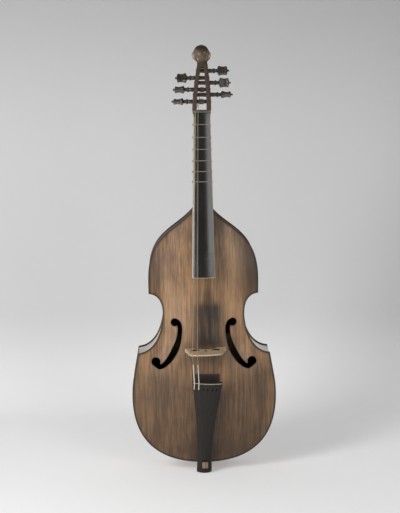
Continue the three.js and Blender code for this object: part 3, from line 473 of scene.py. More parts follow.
class Bench:
    """Sets out and wires the shader nodes of one material."""

    def __init__(self, name: str) -> None:
        """Starts an empty material.

        Args:
            name: the material's name.
        """
        self.material = bpy.data.materials.new(name)
        self.material.use_nodes = True
        self.tree = self.material.node_tree
        self.tree.nodes.clear()

    def put(self, kind: str, feeds: dict | None = None, **settings: object) -> bpy.types.Node:
        """Adds a node.

        Args:
            kind: the node's type.
            feeds: what goes into each input, by name or number: a value or another node's output.
            settings: the node's own properties.

        Returns:
            The node.
        """
        node = self.tree.nodes.new(kind)
        for key, value in settings.items():
            setattr(node, key, value)
        for key, value in (feeds or {}).items():
            if isinstance(value, Socket):
                self.tree.links.new(value, node.inputs[key])
            else:
                node.inputs[key].default_value = value
        return node

    def noted(self, name: str) -> Socket:
        """The number that is written on the corners under a name."""
        return self.put("ShaderNodeAttribute", attribute_name=name).outputs["Fac"]

    def sum(self, operation: str, *values: object, clamp: bool = False) -> Socket:
        """The result of a calculation with one to three values."""
        node = self.put("ShaderNodeMath", dict(enumerate(values)), operation=operation, use_clamp=clamp)
        return node.outputs[0]

    def place(self, scale: Sequence[float] = (1, 1, 1), shift: Sequence[float] = (0, 0, 0)) -> Socket:
        """The place on the object in millimetres, stretched by a scale.

        Args:
            scale: the stretch along each axis.
            shift: how far it is moved.

        Returns:
            The place.
        """
        coordinates = self.put("ShaderNodeTexCoord").outputs["Object"]
        feeds = {"Vector": coordinates, "Location": shift, "Scale": [s / MM for s in scale]}
        return self.put("ShaderNodeMapping", feeds).outputs[0]

    def axes(self) -> tuple[Socket, ...]:
        """The place on the object in millimetres, as three numbers."""
        split = self.put("ShaderNodeSeparateXYZ", {0: self.place()})
        return tuple(split.outputs)

    def noise(self, vector: object, scale: float, detail: float = 3, rough: float = 0.55) -> Socket:
        """Cloudy noise from 0 to 1 at a place."""
        feeds = {"Vector": vector, "Scale": scale, "Detail": detail, "Roughness": rough}
        return self.put("ShaderNodeTexNoise", feeds).outputs[0]

    def span(self, value: object, low: float, high: float, start: float = 0.0, stop: float = 1.0) -> Socket:
        """A value whose low to high is eased to start to stop, and kept there."""
        feeds = {"Value": value, "From Min": low, "From Max": high, "To Min": start, "To Max": stop}
        return self.put("ShaderNodeMapRange", feeds, interpolation_type="SMOOTHSTEP").outputs[0]

    def blend(self, part: object, first: object, second: object, mode: str = "MIX") -> Socket:
        """Two colours mixed by a part.

        Args:
            part: how much of the second is in it.
            first: the first colour.
            second: the second colour.
            mode: how they are mixed.

        Returns:
            The mixed colour.
        """
        node = self.put("ShaderNodeMix", data_type="RGBA", blend_type=mode)
        for socket, value in ((node.inputs[0], part), (node.inputs[6], first), (node.inputs[7], second)):
            if isinstance(value, Socket):
                self.tree.links.new(value, socket)
            else:
                socket.default_value = (*value, 1.0) if isinstance(value, (tuple, list)) else value
        return node.outputs[2]

    def relief(self, height: object, depth: float, below: object = None) -> Socket:
        """A surface normal roughened by a height.

        Args:
            height: the height, from 0 to 1.
            depth: its depth in millimetres.
            below: the normal that it is laid on.

        Returns:
            The normal.
        """
        feeds = {"Height": height, "Distance": depth * MM, "Strength": 1.0}
        if below is not None:
            feeds["Normal"] = below
        return self.put("ShaderNodeBump", feeds).outputs[0]

    def finish(self, colour: object, rough: object, normal: object = None, **constants: float) -> Finish:
        """Ends the material.

        Args:
            colour: the colour of the surface.
            rough: its roughness.
            normal: its surface normal.
            constants: other inputs of the surface shader, with underscores for spaces.

        Returns:
            The material.
        """
        feeds = {"Base Color": colour, "Roughness": rough}
        if normal is not None:
            feeds["Normal"] = normal
        for key, value in constants.items():
            feeds[key.replace("_", " ")] = value
        shader = self.put("ShaderNodeBsdfPrincipled", feeds)
        self.put("ShaderNodeOutputMaterial", {0: shader.outputs[0]})
        return self.material


@dataclass(frozen=True)
class Wood:
    """A wood with its fibres along one axis."""

    name: str
    light: Colour
    dark: Colour
    grain: Grain = Grain.UPRIGHT
    line: float = 1.6
    rough: float = 0.42
    coat: float = 0.25
    coat_rough: float = 0.25
    flame: float = 0.0
    flame_width: float = 9.0
    pore_depth: float = 0.03
    dirt: float = 0.35
    shine: float = 0.5
    # a painted highlight: a pale line along the edges, as if they caught the lamps, and its width
    worn: Colour | None = None
    worn_width: float = 1.6
    halves: bool = False

    def material(self) -> Finish:
        """The wood as a material.

        Returns:
            The material.
        """
        bench = Bench(self.name)
        stretch = [1.0, 1.0, 1.0]
        stretch[self.grain.value] = 0.035
        fibres = bench.noise(bench.place(stretch), 1 / self.line, 4, 0.6)
        streaks = bench.noise(bench.place([s * 0.16 for s in stretch]), 1.0, 3, 0.55)
        clouds = bench.noise(bench.place((0.016, 0.016, 0.012)), 1.0, 2)
        tone = bench.sum("MULTIPLY_ADD", fibres, 0.55, bench.sum("MULTIPLY", streaks, 0.45))
        tone = bench.span(tone, 0.3, 0.7)
        colour = bench.blend(tone, self.dark, self.light)
        if self.flame:
            bend = bench.noise(bench.place((0.02, 0.02, 0.05)), 1.0, 2)
            swing = [0.1, 0.1, 0.1]
            swing[self.grain.value] = 1.0
            bands = bench.noise(bench.place(swing), 1 / self.flame_width, 2, 0.4)
            bands = bench.span(bench.sum("MULTIPLY_ADD", bend, 0.2, bands), 0.45, 0.75)
            colour = bench.blend(bench.sum("MULTIPLY", bands, self.flame), colour, self.dark)
        grime = bench.span(clouds, 0.35, 0.7, 0.0, self.dirt)
        # a darker colour for grime, the back's joint and its rim
        soiled = tuple(c * 0.45 for c in self.dark)
        colour = bench.blend(grime, colour, soiled)
        if self.halves:
            away = bench.sum("ABSOLUTE", bench.axes()[0])
            colour = bench.blend(bench.span(away, 0.3, 1.1, 0.8, 0.0), colour, soiled)
            # the back darkens towards its rim, partly wear and partly painted shade
            rim = bench.noted("rim_mm")
            rim = bench.sum("MULTIPLY_ADD", streaks, 14.0, rim)
            colour = bench.blend(bench.span(rim, 4.0, 24.0, 0.6, 0.0), colour, soiled)
        # painted highlight along the edges, on the fingerboard's sides and lower end
        if self.worn:
            away = bench.noted("edge_mm")
            away = bench.sum("MULTIPLY_ADD", streaks, 0.6, away)
            part = bench.span(away, self.worn_width * 0.7, self.worn_width * 1.6, 0.8, 0.0)
            colour = bench.blend(part, colour, self.worn)
        rough = bench.span(clouds, 0.3, 0.75, self.rough - 0.06, self.rough + 0.12)
        normal = bench.relief(fibres, self.pore_depth)
        coat = {"Coat_Weight": self.coat, "Coat_Roughness": self.coat_rough}
        return bench.finish(colour, rough, normal, Specular_IOR_Level=self.shine, **coat)


@dataclass(frozen=True)
class CarvedWood:
    """The head's wood: dark in the hair on top, pale where the carving has been rubbed."""

    name: str = "carved_wood"
    hair: Colour = (0.032, 0.021, 0.014)
    skin: Colour = (0.15, 0.1, 0.066)
    rubbed: Colour = (0.52, 0.42, 0.31)

    def material(self) -> Finish:
        """The wood as a material.

        Returns:
            The material.
        """
        bench = Bench(self.name)
        fibres = bench.noise(bench.place((0.6, 0.6, 0.1)), 1.0, 3)
        specks = bench.noise(bench.place((0.35, 0.35, 0.35)), 1.0, 4, 0.7)
        pale = bench.noted("pale")
        low = bench.blend(bench.span(pale, 0.0, 0.5), self.hair, self.skin)
        colour = bench.blend(bench.span(pale, 0.5, 1.0), low, self.rubbed)
        spots = bench.span(specks, 0.45, 0.7, 0.0, 0.5)
        colour = bench.blend(spots, colour, tuple(c * 0.5 for c in self.hair))
        colour = bench.blend(bench.span(fibres, 0.4, 0.7, 0.0, 0.3), colour, self.hair)
        normal = bench.relief(fibres, 0.05)
        return bench.finish(colour, 0.5, normal, Specular_IOR_Level=0.35, Coat_Weight=0.1)


@dataclass(frozen=True)
class BellyWood:
    """The belly's old varnished softwood, with darker and paler places: uneven tone, dirt, painted shade
    and painted sheen.
    """

    name: str = "belly_wood"
    light: Colour = (0.37, 0.21, 0.102)
    dark: Colour = (0.1, 0.052, 0.0245)
    # nearly black: real dirt, the crack and the joint, the darker rim, and painted shade under the
    # tailpiece and round the sound holes
    stain_and_shade: Colour = (0.014, 0.0095, 0.007)
    # the colour of the painted sheen
    pale: Colour = (0.5, 0.31, 0.16)
    edge_width: float = 9.0
    crack_x: float = 12.0
    joint_x: float = 0.6
    # The darker patches hold both the wood's uneven tone and painted shade: the treble side, the lower end,
    # round the bridge, and nearly black behind the tailpiece's slot.
    tone_and_shade_depth: float = 0.35
    tone_and_shade_patches: Patches = (
        ((12, 470), (17, 60), 0.7, 0.7), ((8, 330), (80, 52), 0.7, 0.55),
        ((150, 250), (60, 50), 0.8, 0.5), ((110, 120), (160, 140), 0.8, 0.62),
        ((-90, 70), (190, 115), 0.8, 0.58), ((-120, 225), (125, 85), 0.8, 0.55),
        ((50, 45), (125, 50), 0.8, 0.6), ((0, 34), (16, 12), 0.4, 0.95),
        ((152, 600), (72, 185), 0.7, 0.88), ((-152, 590), (56, 140), 0.7, 0.55),
        ((30, 690), (80, 50), 0.8, 0.45),
    )
    # painted sheen: pale bands where the arched belly would reflect the two soft boxes
    sheen_patches: Patches = (
        ((-86, 470), (34, 62), 0.8, 0.42), ((82, 540), (24, 100), 0.8, 0.36),
        ((78, 440), (26, 50), 0.8, 0.2),
    )
    strip: tuple[Flat, Flat] = ((-22, 48), (348, 468))
    # painted shade: the belly under the tailpiece's upper end is painted nearly black
    under_tail_shade: tuple[Flat, Flat] = ((-27, 43), (200, 274))

    def patch(self, bench: Bench, centre: Flat, radii: Flat, soft: float) -> Socket:
        """An oval part of the belly, 1 in its middle and 0 outside.

        Args:
            bench: the material.
            centre: its middle, in X and Z.
            radii: its half width and half height.
            soft: how far in its edge fades, as a part of its radius.

        Returns:
            The oval.
        """
        x, _, z = bench.axes()
        across = bench.sum("DIVIDE", bench.sum("SUBTRACT", x, centre[0]), radii[0])
        along = bench.sum("DIVIDE", bench.sum("SUBTRACT", z, centre[1]), radii[1])
        ragged = bench.noise(bench.place((0.05, 0.05, 0.012)), 1.0, 3)
        square = bench.sum("MULTIPLY_ADD", across, across, bench.sum("MULTIPLY", along, along))
        reach = bench.sum("SQRT", square)
        reach = bench.sum("MULTIPLY_ADD", bench.sum("SUBTRACT", ragged, 0.5), 0.5, reach)
        return bench.span(reach, 1 - soft, 1 + soft / 2, 1.0, 0.0)

    def box(self, bench: Bench, xs: Flat, zs: Flat, soft: float) -> Socket:
        """An upright rectangle of the belly with soft sides, 1 inside and 0 outside.

        Args:
            bench: the material.
            xs: its sides.
            zs: its lower and upper edge.
            soft: how wide its edges fade.

        Returns:
            The rectangle.
        """
        x, _, z = bench.axes()
        sides = [
            bench.span(x, xs[0] - soft, xs[0] + soft),
            bench.span(x, xs[1] - soft, xs[1] + soft, 1.0, 0.0),
            bench.span(z, zs[0] - soft, zs[0] + soft),
            bench.span(z, zs[1] - soft, zs[1] + soft, 1.0, 0.0),
        ]
        part = sides[0]
        for side in sides[1:]:
            part = bench.sum("MULTIPLY", part, side)
        return part

    def material(self) -> Finish:
        """The belly's material.

        Returns:
            The material.
        """
        bench = Bench(self.name)
        wobble = bench.noise(bench.place((0.01, 0.01, 0.006)), 1.0, 2)
        fine = bench.noise(bench.place((0.9, 0.3, 0.012)), 1.0, 3, 0.6)
        streaks = bench.noise(bench.place((0.22, 0.1, 0.008)), 1.0, 4, 0.65)
        broad = bench.noise(bench.place((0.035, 0.02, 0.006)), 1.0, 3)
        tone = bench.sum("MULTIPLY_ADD", fine, 0.3, bench.sum("MULTIPLY", streaks, 0.42))
        tone = bench.sum("MULTIPLY_ADD", broad, 0.28, tone)
        colour = bench.blend(bench.span(tone, 0.37, 0.63), self.dark, self.light)
        clouds = bench.noise(bench.place((0.03, 0.03, 0.018)), 1.0, 4, 0.6)
        colour = bench.blend(bench.span(clouds, 0.42, 0.72, 0.0, 0.45), colour, self.dark)
        # darker tone with painted shade for the darker patches; painted sheen for the paler ones
        tone_and_shade_colour = tuple(c * self.tone_and_shade_depth for c in self.dark)
        bright = bench.blend(bench.span(tone, 0.36, 0.6), self.light, self.pale)
        for patches, paint in ((self.tone_and_shade_patches, tone_and_shade_colour), (self.sheen_patches, bright)):
            for centre, radii, soft, depth in patches:
                part = bench.sum("MULTIPLY", self.patch(bench, centre, radii, soft), depth)
                colour = bench.blend(part, colour, paint)
        smears = bench.span(bench.noise(bench.place((0.12, 0.1, 0.012)), 1.0, 3), 0.3, 0.6, 0.72, 1.0)
        strip = bench.sum("MULTIPLY", self.box(bench, *self.strip, 14), smears)
        colour = bench.blend(bench.sum("MULTIPLY", strip, 0.97), colour, self.stain_and_shade)
        # painted shade under the tailpiece's upper end
        dark_box = bench.sum("MULTIPLY", self.box(bench, *self.under_tail_shade, 2.5), 0.97)
        colour = bench.blend(dark_box, colour, self.stain_and_shade)
        x, _, z = bench.axes()
        for place, half, depth in ((self.crack_x, 0.9, 0.75), (self.joint_x, 0.5, 0.3)):
            away = bench.sum("ABSOLUTE", bench.sum("SUBTRACT", x, place))
            line = bench.span(away, half * 0.4, half * 1.6, depth, 0.0)
            line = bench.sum("MULTIPLY", line, bench.span(z, 330, 350, 1.0, 0.25))
            colour = bench.blend(line, colour, self.stain_and_shade)
        rim = bench.noted("rim_mm")
        hole = bench.noted("hole_mm")
        # the belly darkens towards its rim
        ragged = bench.sum("MULTIPLY_ADD", wobble, 2.0, rim)
        edge = bench.span(ragged, 2.5, self.edge_width, 0.92, 0.0)
        colour = bench.blend(edge, colour, self.stain_and_shade)
        # painted shade round the sound holes, whose insides lie in shade
        colour = bench.blend(bench.span(hole, 0.5, 3.0, 0.5, 0.0), colour, self.stain_and_shade)
        rough = bench.span(clouds, 0.3, 0.7, 0.36, 0.5)
        normal = bench.relief(bench.sum("MULTIPLY_ADD", fine, 0.6, streaks), 0.06)
        coat = bench.span(rim, 2.0, 6.0, 0.0, 0.22)
        shine = {"Specular_IOR_Level": 0.4, "Coat_Weight": coat, "Coat_Roughness": 0.3}
        return bench.finish(colour, rough, normal, **shine)


@dataclass(frozen=True)
class Gut:
    """Twisted gut, or the silk that is wound round a string's lower end."""

    name: str
    light: Colour
    dark: Colour
    twist: float = 1.2
    rough: float = 0.5
    soiled_above: float | None = None

    def material(self) -> Finish:
        """The gut as a material, much darker above a height if there is one.

        Returns:
            The material.
        """
        bench = Bench(self.name)
        x, y, z = bench.axes()
        slant = bench.sum("ADD", z, bench.sum("MULTIPLY", bench.sum("ADD", x, y), 0.8))
        strands = bench.sum("SINE", bench.sum("MULTIPLY", slant, TURN / self.twist))
        strands = bench.span(strands, -0.8, 0.8)
        age = bench.noise(bench.place((0.05, 0.05, 0.05)), 1.0, 3)
        tone = bench.sum("MULTIPLY_ADD", strands, 0.5, bench.sum("MULTIPLY", age, 0.5))
        colour = bench.blend(tone, self.dark, self.light)
        if self.soiled_above:
            part = bench.span(z, self.soiled_above, self.soiled_above + 25, 0.0, 0.9)
            colour = bench.blend(part, colour, tuple(c * 0.12 for c in self.dark))
        return bench.finish(colour, self.rough, bench.relief(strands, 0.08))


@dataclass(frozen=True)
class Bone:
    """Old bone with faint fibres and clouds of grime."""

    name: str = "old_bone"
    light: Colour = (0.42, 0.37, 0.28)
    dark: Colour = (0.2, 0.15, 0.09)

    def material(self) -> Finish:
        """The bone as a material.

        Returns:
            The material.
        """
        bench = Bench(self.name)
        fibres = bench.noise(bench.place((0.08, 0.6, 0.6)), 1.0, 4)
        clouds = bench.noise(bench.place((0.12, 0.12, 0.12)), 1.0, 3)
        colour = bench.blend(bench.span(fibres, 0.35, 0.65, 0.1, 0.5), self.light, self.dark)
        colour = bench.blend(bench.span(clouds, 0.45, 0.8, 0.0, 0.6), colour, self.dark)
        return bench.finish(colour, 0.42, bench.relief(fibres, 0.02), Coat_Weight=0.2)


def made_of(kind: type, *values: object, **settings: object) -> Finish:
    """A field of Finishes that holds a new material.

    Args:
        kind: the class of the finish.
        values: its first values.
        settings: its other values, by name.

    Returns:
        The field.
    """
    return field(default_factory=lambda: kind(*values, **settings).material())


@dataclass(frozen=True)
class Finishes:
    """Every finish of the instrument."""

    belly: Finish = made_of(BellyWood)
    body: Finish = made_of(
        Wood, "body_wood", (0.33, 0.18, 0.085), (0.17, 0.087, 0.037),
        flame=0.35, rough=0.2, coat=1.0, coat_rough=0.1,
    )
    rear: Finish = made_of(
        Wood, "back_wood", (0.36, 0.19, 0.085), (0.16, 0.08, 0.034),
        flame=0.6, flame_width=12.0, rough=0.24, coat=0.8, coat_rough=0.12, halves=True,
    )
    inner: Finish = made_of(Wood, "inner_wood", (0.3, 0.2, 0.11), (0.16, 0.1, 0.05), rough=0.75, coat=0.0)
    neck: Finish = made_of(
        Wood, "neck_wood", (0.085, 0.053, 0.032), (0.038, 0.023, 0.014), line=1.3, rough=0.4, coat=0.3
    )
    carved: Finish = made_of(CarvedWood)
    hook: Finish = made_of(Wood, "hook_wood", (0.34, 0.24, 0.15), (0.17, 0.11, 0.065), rough=0.4)
    # painted shade: the upper ribs are dark and dull, as if they lay in shade
    shoulder: Finish = made_of(
        Wood, "shoulder_wood", (0.07, 0.04, 0.022), (0.03, 0.017, 0.01), rough=0.55, coat=0.0, shine=0.25
    )
    shaded: Finish = made_of(
        Wood, "shaded_wood", (0.03, 0.02, 0.012), (0.014, 0.009, 0.006), rough=0.85, coat=0.0, shine=0.1
    )
    dark: Finish = made_of(
        Wood, "board_wood", (0.01, 0.008, 0.0065), (0.005, 0.004, 0.003),
        line=1.1, rough=0.24, coat=0.5, dirt=0.2, worn=(0.5, 0.42, 0.3),
    )
    tail: Finish = made_of(
        Wood, "tail_wood", (0.021, 0.017, 0.014), (0.012, 0.0095, 0.008),
        line=1.1, rough=0.5, coat=0.0, dirt=0.2, shine=0.3,
    )
    bridge: Finish = made_of(
        Wood, "bridge_wood", (0.68, 0.52, 0.34), (0.46, 0.33, 0.2),
        grain=Grain.ACROSS, line=1.0, rough=0.5, coat=0.1,
    )
    peg: Finish = made_of(
        Wood, "peg_wood", (0.045, 0.028, 0.018), (0.018, 0.011, 0.007),
        grain=Grain.ACROSS, line=0.9, rough=0.36, coat=0.3, coat_rough=0.2,
    )
    gut: Finish = made_of(Gut, "gut", (0.36, 0.3, 0.2), (0.2, 0.15, 0.09), soiled_above=1000)
    silk: Finish = made_of(
        Gut, "silk_wrap", (0.78, 0.74, 0.64), (0.5, 0.45, 0.36), twist=0.9, rough=0.6
    )
    bone: Finish = made_of(Bone)
    nut: Finish = made_of(Bone, "nut_bone", (0.085, 0.07, 0.055), (0.04, 0.032, 0.024))


@dataclass
class SoundBox:
    """Belly, back and ribs, set out from one outline."""

    bottom_z: float = 22.5
    lower_half: float = 198
    lower_z: float = 210
    lower_corner: Flat = (182, 328.5)
    waist_half: float = 112
    waist_z: float = 437
    upper_corner: Flat = (150.5, 493)
    upper_half: float = 151
    upper_z: float = 530
    top_half: float = 26
    top_z: float = 725
    tail_flat: float = 8
    edge: float = 4
    centre: float = 5
    arch_height: float = 22
    arch_reach: float = 30
    round_edge: float = 1.8
    overhang: float = 2.5
    rib_thickness: float = 2.2
    rib_depth: float = 115
    heel_depth: float = 70
    fold_z: float = 585
    back_thickness: float = 4
    hole_inner_x: float = 59.3
    hole_outer_x: float = 144.3
    hole_bottom_z: float = 285.8
    hole_top_z: float = 426
    upper_eye: float = 11
    upper_eye_x: float = 79
    lower_eye: float = 12.3
    lower_eye_z: float = 305.5
    lower_spine_z: float = 292
    upper_spine_z: float = 530
    shoulder_rise: float = 18
    noted_reach: float = 60
    columns: int = 22

    def __post_init__(self) -> None:
        """Works out the rim and the width that the arch follows."""
        self.rim, self.inward, self.spine = self.rim_points()
        self.arch_zs = np.arange(self.bottom_z, self.top_z + 1, 1.0)
        steps = [k / 2 * self.arch_reach for k in range(-2, 3)]
        near = [self.least_widths(np.minimum(self.arch_zs + step, self.top_z), steps) for step in steps]
        self.arch_widths = np.mean(near, axis=0)

    def widths(self, zs: np.ndarray) -> np.ndarray:
        """Half the outline's width at some heights."""
        return np.interp(zs, self.rim[:, 1], self.rim[:, 0])

    def least_widths(self, zs: np.ndarray, steps: Sequence[float]) -> np.ndarray:
        """The least half width near some heights, looked for between the widest places."""
        near = [self.widths(np.clip(zs + step, self.lower_z, self.upper_z)) for step in steps]
        return np.min([self.widths(zs), *near], axis=0)

    def bouts(self) -> list[tuple[list[Flat], int, Flat]]:
        """The outline's curves and how the rows of each meet the centre.

        Returns:
            For each curve its control points, its steps and that stretch of the centre.
        """
        def curve(start: Flat, stop: Flat, shares: Sequence[Flat]) -> list[Flat]:
            """The four control points of one curve."""
            handles = [(mix(start[0], stop[0], a), mix(start[1], stop[1], b)) for a, b in shares]
            return [start, *handles, stop]

        tail, hip = (0.0, self.bottom_z), (self.lower_half, self.lower_z)
        waist = (self.waist_half, self.waist_z)
        shoulder, top = (self.upper_half, self.upper_z), (self.top_half, self.top_z)
        half = (self.lower_spine_z + self.upper_spine_z) / 2
        even = [(1 / 3, 1 / 3), (2 / 3, 2 / 3)]
        low, high = self.lower_corner, self.upper_corner
        below, above, shoulder_z = self.lower_spine_z, self.upper_spine_z, self.upper_z + self.shoulder_rise
        return [
            (curve(tail, hip, [(0.747, 0), (1, 0.445)]), 40, (self.bottom_z, self.lower_z)),
            (curve(hip, low, [(0, 0.33), (0.26, 0.41)]), 16, (self.lower_z, below)),
            (curve(low, waist, [(0.77, 0.03), (1, 0.68)]), 30, (below, half)),
            (curve(waist, high, [(0, 0.57), (0.3, 0.95)]), 26, (half, above)),
            (curve(high, shoulder, even), 4, (above, shoulder_z)),
            (curve(shoulder, top, [(0, 0.667), (0.568, 0.67)]), 44, (shoulder_z, self.top_z)),
        ]

    def rim_points(self) -> tuple[np.ndarray, np.ndarray, np.ndarray]:
        """The right half of the rim, the inward step that keeps a border even, and the rows' centres.

        Returns:
            The three, one row for each place of the rim.
        """
        spots, spine = [], []
        for curve, steps, (low, high) in self.bouts():
            for step in range(0 if not spots else 1, steps + 1):
                spots.append(bezier(curve, step / steps)[0])
                spine.append(mix(low, high, step / steps))
        rim = np.array(spots)
        part = self.tail_flat / rim[1][0]
        rim[0] = (self.tail_flat, mix(rim[0][1], rim[1][1], part))
        runs = np.diff(rim, axis=0)
        runs /= np.linalg.norm(runs, axis=1)[:, None]
        normals = np.stack([-runs[:, 1], runs[:, 0]], 1)
        before = np.vstack([normals[:1], normals])
        after = np.vstack([normals, normals[-1:]])
        middle = before + after
        middle /= np.linalg.norm(middle, axis=1)[:, None]
        stretch = 1 / np.maximum((middle * before).sum(1), 0.5)
        return rim, middle * stretch[:, None], np.array(spine)

    def border(self, inset: float) -> np.ndarray:
        """The right half of the rim, drawn in by an inset."""
        return self.rim + self.inward * inset

    def whole_rim(self) -> list[Flat]:
        """The rim all round."""
        right = [(float(x), float(z)) for x, z in self.rim]
        return right + [(-x, z) for x, z in reversed(right)]

    def arch(self, x: float, z: float) -> float:
        """How far the belly swells at a place.

        Args:
            x: the place across.
            z: the place's height.

        Returns:
            The swelling.
        """
        along = 2 * share(z, self.bottom_z, self.top_z) - 1
        across = min(abs(x) / float(np.interp(z, self.arch_zs, self.arch_widths)), 1)
        return self.arch_height * (1 - along**4) ** 1.3 * (1 - across**2) ** 1.6

    def front(self, x: float, z: float) -> float:
        """The belly's outer face at a place."""
        return -self.edge - self.arch(x, z)

    def inside(self, x: float, z: float) -> float:
        """The belly's inner face at a place."""
        return -self.arch(x, z) * (1 - (self.centre - self.edge) / self.arch_height)

    def back_inside(self, z: float) -> float:
        """The back's inner face at a height."""
        return mix(self.rib_depth, self.heel_depth, share(z, self.fold_z, self.top_z))

    def plate_rows(self) -> list[list[Spot]]:
        """Rows of places across a plate, each with the rounding's depth at its rim.

        Returns:
            The rows.
        """
        radius = self.round_edge
        insets = [0.0, 0.25 * radius, 0.6 * radius, 1.2 * radius]
        drops = [radius - sqrt(max(radius**2 - max(radius - d, 0) ** 2, 0)) for d in insets]
        rows = []
        for rim, inward, centre in zip(self.rim, self.inward, self.spine):
            start = rim + inward * insets[-1]
            right = [(*(rim + inward * d), drop) for d, drop in zip(insets[:-1], drops)]
            for k in range(self.columns + 1):
                part = cos(pi / 2 * k / self.columns)
                right.append((start[0] * part, mix(centre, start[1], part**2.2), 0.0))
            rows.append([(-x, z, drop) for x, z, drop in right] + right[-2::-1])
        return rows

    def plate(self, near: Height, far: Height, sign: int) -> Mesh:
        """A plate between two faces.

        Args:
            near: the face towards the strings.
            far: the face away from them.
            sign: 1 where the near face is the rounded one, -1 where the far one is.

        Returns:
            The plate.
        """
        rings = []
        for row in self.plate_rows():
            rounding = [drop for _, _, drop in row]
            fronts = rounding if sign > 0 else [0.0] * len(row)
            backs = rounding if sign < 0 else [0.0] * len(row)
            ring = [Vector((x, near(x, z) + d, z)) for (x, z, _), d in zip(row, fronts)]
            ring += [Vector((x, far(x, z) - d, z)) for (x, z, _), d in zip(row, backs)][::-1]
            rings.append(ring)
        return ring_mesh(rings)

    def hole_outline(self, side: Side) -> list[Flat]:
        """One sound hole.

        Args:
            side: the half that it lies in.

        Returns:
            Its outline, in X and Z.
        """
        def at(across: float, up: float) -> Flat:
            """A place by its shares of the hole's box."""
            x = mix(self.hole_inner_x, self.hole_outer_x, across)
            return x, mix(self.hole_bottom_z, self.hole_top_z, up)

        upper = (self.upper_eye_x, self.hole_top_z - self.upper_eye)
        lower = (self.hole_outer_x - self.lower_eye, self.lower_eye_z)
        lower_arc = round_bit(lower, self.lower_eye, 205, -60, 26)
        upper_arc = round_bit(upper, self.upper_eye, 117, -125, 24)
        outer = [(0.144, 0.765), (0.19, 0.605), (0.316, 0.425), (0.488, 0.231), (0.648, 0.113)]
        inner = [(0.785, 0.004), (0.69, 0), (0.51, 0.058), (0.282, 0.203)]
        inner += [(0.095, 0.412), (0.018, 0.636), (0, 0.815), (0.055, 0.936)]
        points = smooth_line([upper_arc[-1], *[at(*p) for p in outer], lower_arc[0]], 30)[1:]
        points += lower_arc[1:]
        points += smooth_line([lower_arc[-1], *[at(*p) for p in inner], upper_arc[0]], 44)[1:]
        points += upper_arc[1:]
        return [(x * side.value, z) for x, z in points]

    def inner_side(self, spot: Vector) -> bool:
        """Whether a place lies well inside the rim."""
        return abs(spot.x) < float(self.widths(np.array([spot.z]))[0]) - self.overhang

    def rib(self, name: str, keep: Inside, span: Flat, finish: Finish, inside: Finish) -> None:
        """Both strips of one bout.

        Args:
            name: the bout's name.
            keep: whether a place of the rim, in X and Z, belongs to the strip.
            span: the first and last row of the rim that the strip may use.
            finish: the wood.
            inside: the wood of its inner face.
        """
        outer, inner = self.border(self.overhang), self.border(self.overhang + self.rib_thickness)
        rows = [i for i in range(int(span[0]), int(span[1]) + 1) if keep(*outer[i])]
        for side in Side:
            rings = []
            middle = [(outer[i] + inner[i]) / 2 for i in rows]
            for i in rows:
                far = [self.back_inside(p[1]) - SEAT_GAP for p in (outer[i], inner[i])]
                (ox, oz), (ix, iz) = outer[i], inner[i]
                ring = [(ox, SEAT_GAP, oz), (ox, far[0], oz), (ix, far[1], iz), (ix, SEAT_GAP, iz)]
                rings.append([Vector((x * side.value, y, z)) for x, y, z in ring])
            where = "left" if side is Side.BASS else "right"
            node = f"rib_{name}_{where}"
            strip = piece_from(ring_mesh(rings), f"{node}_strip", finish, [node])

            def within(spot: Vector, normal: Vector) -> bool:
                """Whether a face looks into the box.

                Args:
                    spot: the face's middle.
                    normal: its normal.

                Returns:
                    Whether it does.
                """
                here = np.array([abs(spot.x), spot.z])
                k = int(np.argmin([np.linalg.norm(here - p) for p in middle]))
                step = self.inward[rows[k]]
                return normal.x * copysign(step[0], step[0] * spot.x) + normal.z * step[1] > 0.5

            line_faces(strip, inside, within)

    def build(self, finishes: Finishes) -> None:
        """Makes the belly, the back and the six ribs.

        Args:
            finishes: every finish.
        """
        belly = self.plate(self.front, self.inside, 1)
        holes = [self.hole_outline(side) for side in Side]
        for hole in holes:
            cutter = slab_mesh([hole], -20, self.arch_height * 2)
            belly = joined(belly, moved(cutter, UPRIGHT), Join.CUT)
        top = piece_from(belly, "belly_plate", finishes.belly, ["belly"])
        line_faces(top, finishes.shaded, lambda spot, normal: normal.y > 0.5)
        note_distance(top, "rim_mm", [self.whole_rim()], self.noted_reach)
        note_distance(top, "hole_mm", holes, self.noted_reach)
        back = self.plate(
            lambda x, z: self.back_inside(z), lambda x, z: self.back_inside(z) + self.back_thickness, -1
        )
        rear = piece_from(back, "back_plate", finishes.rear, ["back"])
        note_distance(rear, "rim_mm", [self.whole_rim()], self.noted_reach)
        line_faces(rear, finishes.shaded, lambda spot, normal: normal.y < -0.5 and self.inner_side(spot))
        joint = self.overhang + self.rib_thickness + SEAT_GAP
        steps = np.cumsum([0] + [steps for _, steps, _ in self.bouts()])
        low, high = self.lower_corner[1] - joint, self.upper_corner[1] + joint
        self.rib("lower", lambda x, z: z < low, (0, steps[2]), finishes.body, finishes.shaded)
        self.rib("centre", lambda x, z: True, (steps[2], steps[4]), finishes.body, finishes.shaded)
        # the upper ribs take the dark finish that paints shade on them
        self.rib("upper", lambda x, z: z > high, (steps[4], steps[6]), finishes.shoulder, finishes.shaded)


